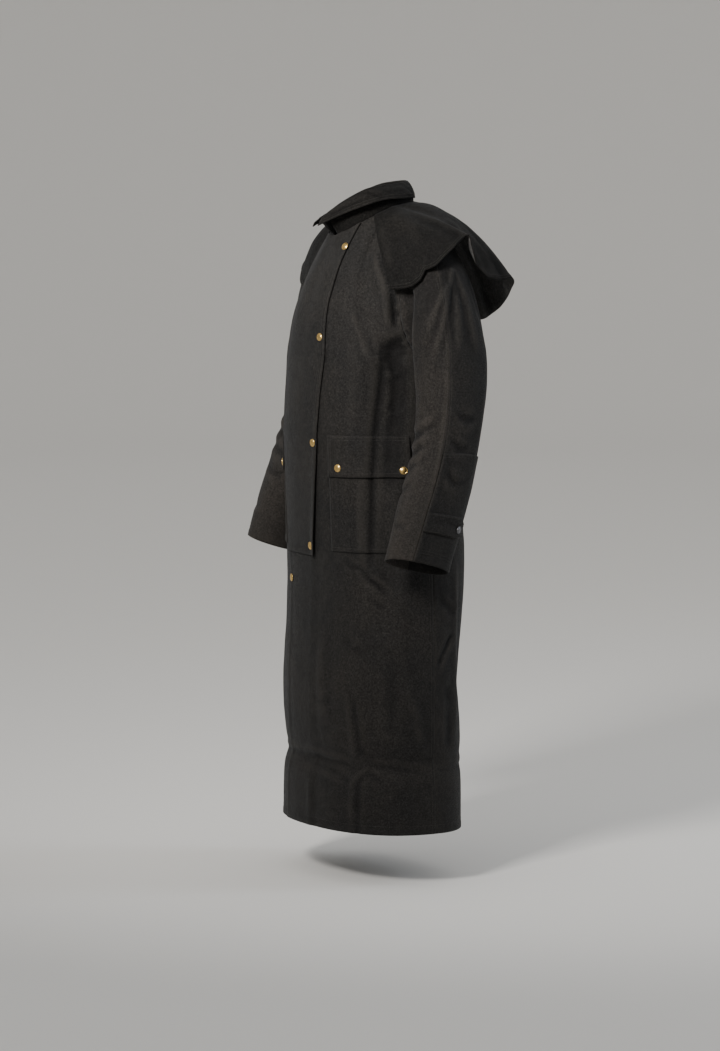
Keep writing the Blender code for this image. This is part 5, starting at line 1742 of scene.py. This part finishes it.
# %% Floor and lights
FLOOR_HEIGHT = -1.37
FLOOR_RADIUS = 12.0
SWEEP_RADIUS = 4.0
WALL_HEIGHT = 9.0
BACKDROP_SIDES = 96
SWEEP_STEPS = 16
profile = [(0.0, 0.0), (3.0, 0.0), (FLOOR_RADIUS, 0.0)]
for k in range(1, SWEEP_STEPS + 1):
    bend = math.pi / 2 * k / SWEEP_STEPS
    rise = SWEEP_RADIUS * (1 - math.cos(bend))
    profile.append((FLOOR_RADIUS + SWEEP_RADIUS * math.sin(bend), rise))
profile.append((FLOOR_RADIUS + SWEEP_RADIUS, WALL_HEIGHT))
points, faces = [(0, 0, FLOOR_HEIGHT)], []
for ring, (radius, rise) in enumerate(profile[1:]):
    for k in range(BACKDROP_SIDES):
        turn = 2 * math.pi * k / BACKDROP_SIDES
        points.append((radius * math.cos(turn), radius * math.sin(turn), FLOOR_HEIGHT + rise))
        start = 1 + ring * BACKDROP_SIDES
        here, after = start + k, start + (k + 1) % BACKDROP_SIDES
        if ring == 0:
            faces.append((0, here, after))
        else:
            faces.append((here - BACKDROP_SIDES, here, after, after - BACKDROP_SIDES))
floor = new_object("floor", smooth_mesh("floor", points, faces))
pale, shader = new_material("pale floor")[:2]
shader.inputs["Base Color"].default_value = (0.74, 0.73, 0.71, 1)
shader.inputs["Roughness"].default_value = 0.9
shader.inputs["Specular IOR Level"].default_value = 0.1
floor.data.materials.append(pale)


def soft_light(name, place, aim_at, size, watts, spread, colour):
    """A large area light that points at a place."""
    data = bpy.data.lights.new(name, "AREA")
    data.shape = "RECTANGLE"
    data.size, data.size_y = size
    data.energy = watts
    data.spread = math.radians(spread)
    data.color = colour
    light = new_object(name, data)
    light.location = place
    light.rotation_euler = turned_to(place, aim_at)


soft_light("key", (1.40, -2.20, 1.10), (0, 0, 0.42), (0.6, 0.7), 40, 84, (1.0, 0.97, 0.93))
soft_light("rim", (1.9, 3.4, 0.9), (0, 0, -0.5), (1.2, 2.4), 30, 150, (0.78, 0.87, 1.0))
SKY_TONE = (0.90, 0.89, 0.87, 1)
SKY_STRENGTH = 0.80
world = bpy.data.worlds.new("studio")
bpy.context.scene.world = world
world.use_nodes = True
background = world.node_tree.nodes["Background"]
background.inputs["Color"].default_value = SKY_TONE
background.inputs["Strength"].default_value = SKY_STRENGTH
print("lights", [o.name for o in bpy.data.objects if o.type == "LIGHT"])

# %% [markdown]
# ## Telling what stands for what
# Every piece rides with the coat's one body, and the solid that it replaces is hidden. The
# sizes that each panel was cut to are listed, and each panel's area and size are printed.

# %% Sizes that the panels were cut to
Cut = namedtuple("Cut", "width length area held rests_on")
CUTS = {
    "front_left": Cut(0.433, 1.342, 0.507, "hung", ("back_cloth",)),
    "front_right": Cut(0.350, 1.325, 0.407, "hung", ("back_cloth",)),
    "back": Cut(0.614, 1.338, 0.727, "hung", ("front_left_cloth", "front_right_cloth")),
    "storm_flap": Cut(0.183, 0.710, 0.110, "laid", ("front_left_cloth",)),
    "collar_stand": Cut(0.536, 0.062, 0.0280, "hung", ("back_cloth",)),
    "collar_fall": Cut(0.640, 0.054, 0.0250, "folded", ("collar_stand_cloth",)),
    "cape": Cut(1.365, 0.309, 0.224, "draped",
                ("sleeve_front_left_cloth", "sleeve_front_right_cloth")),
    "sleeve_front_left": Cut(0.281, 0.689, 0.0985, "hung", ("front_left_cloth",)),
    "sleeve_front_right": Cut(0.264, 0.674, 0.0968, "hung", ("front_right_cloth",)),
    "sleeve_back_left": Cut(0.340, 0.706, 0.147, "hung", ("back_cloth",)),
    "sleeve_back_right": Cut(0.323, 0.691, 0.144, "hung", ("back_cloth",)),
    "elbow_patch_left": Cut(0.185, 0.241, 0.0416, "laid", ("sleeve_back_left_cloth",)),
    "elbow_patch_right": Cut(0.185, 0.241, 0.0416, "laid", ("sleeve_back_right_cloth",)),
    "cuff_tab_left": Cut(0.110, 0.044, 0.0045, "laid", ("elbow_patch_left_cloth",)),
    "cuff_tab_right": Cut(0.110, 0.044, 0.0045, "laid", ("elbow_patch_right_cloth",)),
    "pocket_left": Cut(0.193, 0.201, 0.0381, "laid", ("front_left_cloth",)),
    "pocket_right": Cut(0.173, 0.201, 0.0342, "laid", ("front_right_cloth",)),
    "pocket_flap_left": Cut(0.189, 0.088, 0.0164, "laid", ("pocket_left_cloth",)),
    "pocket_flap_right": Cut(0.169, 0.088, 0.0147, "laid", ("pocket_right_cloth",)),
}


# %% Ride with the body and hide the replaced solids
for node in CUTS:
    piece = cloth_pieces[node + "_cloth"]
    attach(piece, "root")
    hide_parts(node)
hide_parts("skirt_right")
for piece, slot, names in (
    (brass_snaps, "brass_snap", [s.name for s in SNAPS]),
    (dark_snaps, "dark_snap", ["snap_cuff_left", "snap_cuff_right"]),
):
    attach(piece, "root")
    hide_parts(*names)
for piece in stitch_pieces.values():
    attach(piece, "root")
print("pieces", len(CUTS) + 2 + len(stitch_pieces))


def half_area(piece):
    """Half the surface of a shell, which is the area of its cloth."""
    return sum(p.area for p in piece.data.polygons) / 2


for node, cut_to in CUTS.items():
    piece = cloth_pieces[node + "_cloth"]
    list(cut_to.rests_on)
    u, v = run_lengths(skins[piece.name][0])
    wide, long = u[:, -1].max(), v[-1].max()
    print(f"{node:20s} area {half_area(piece):.4f} wide {wide:.3f} long {long:.3f}")
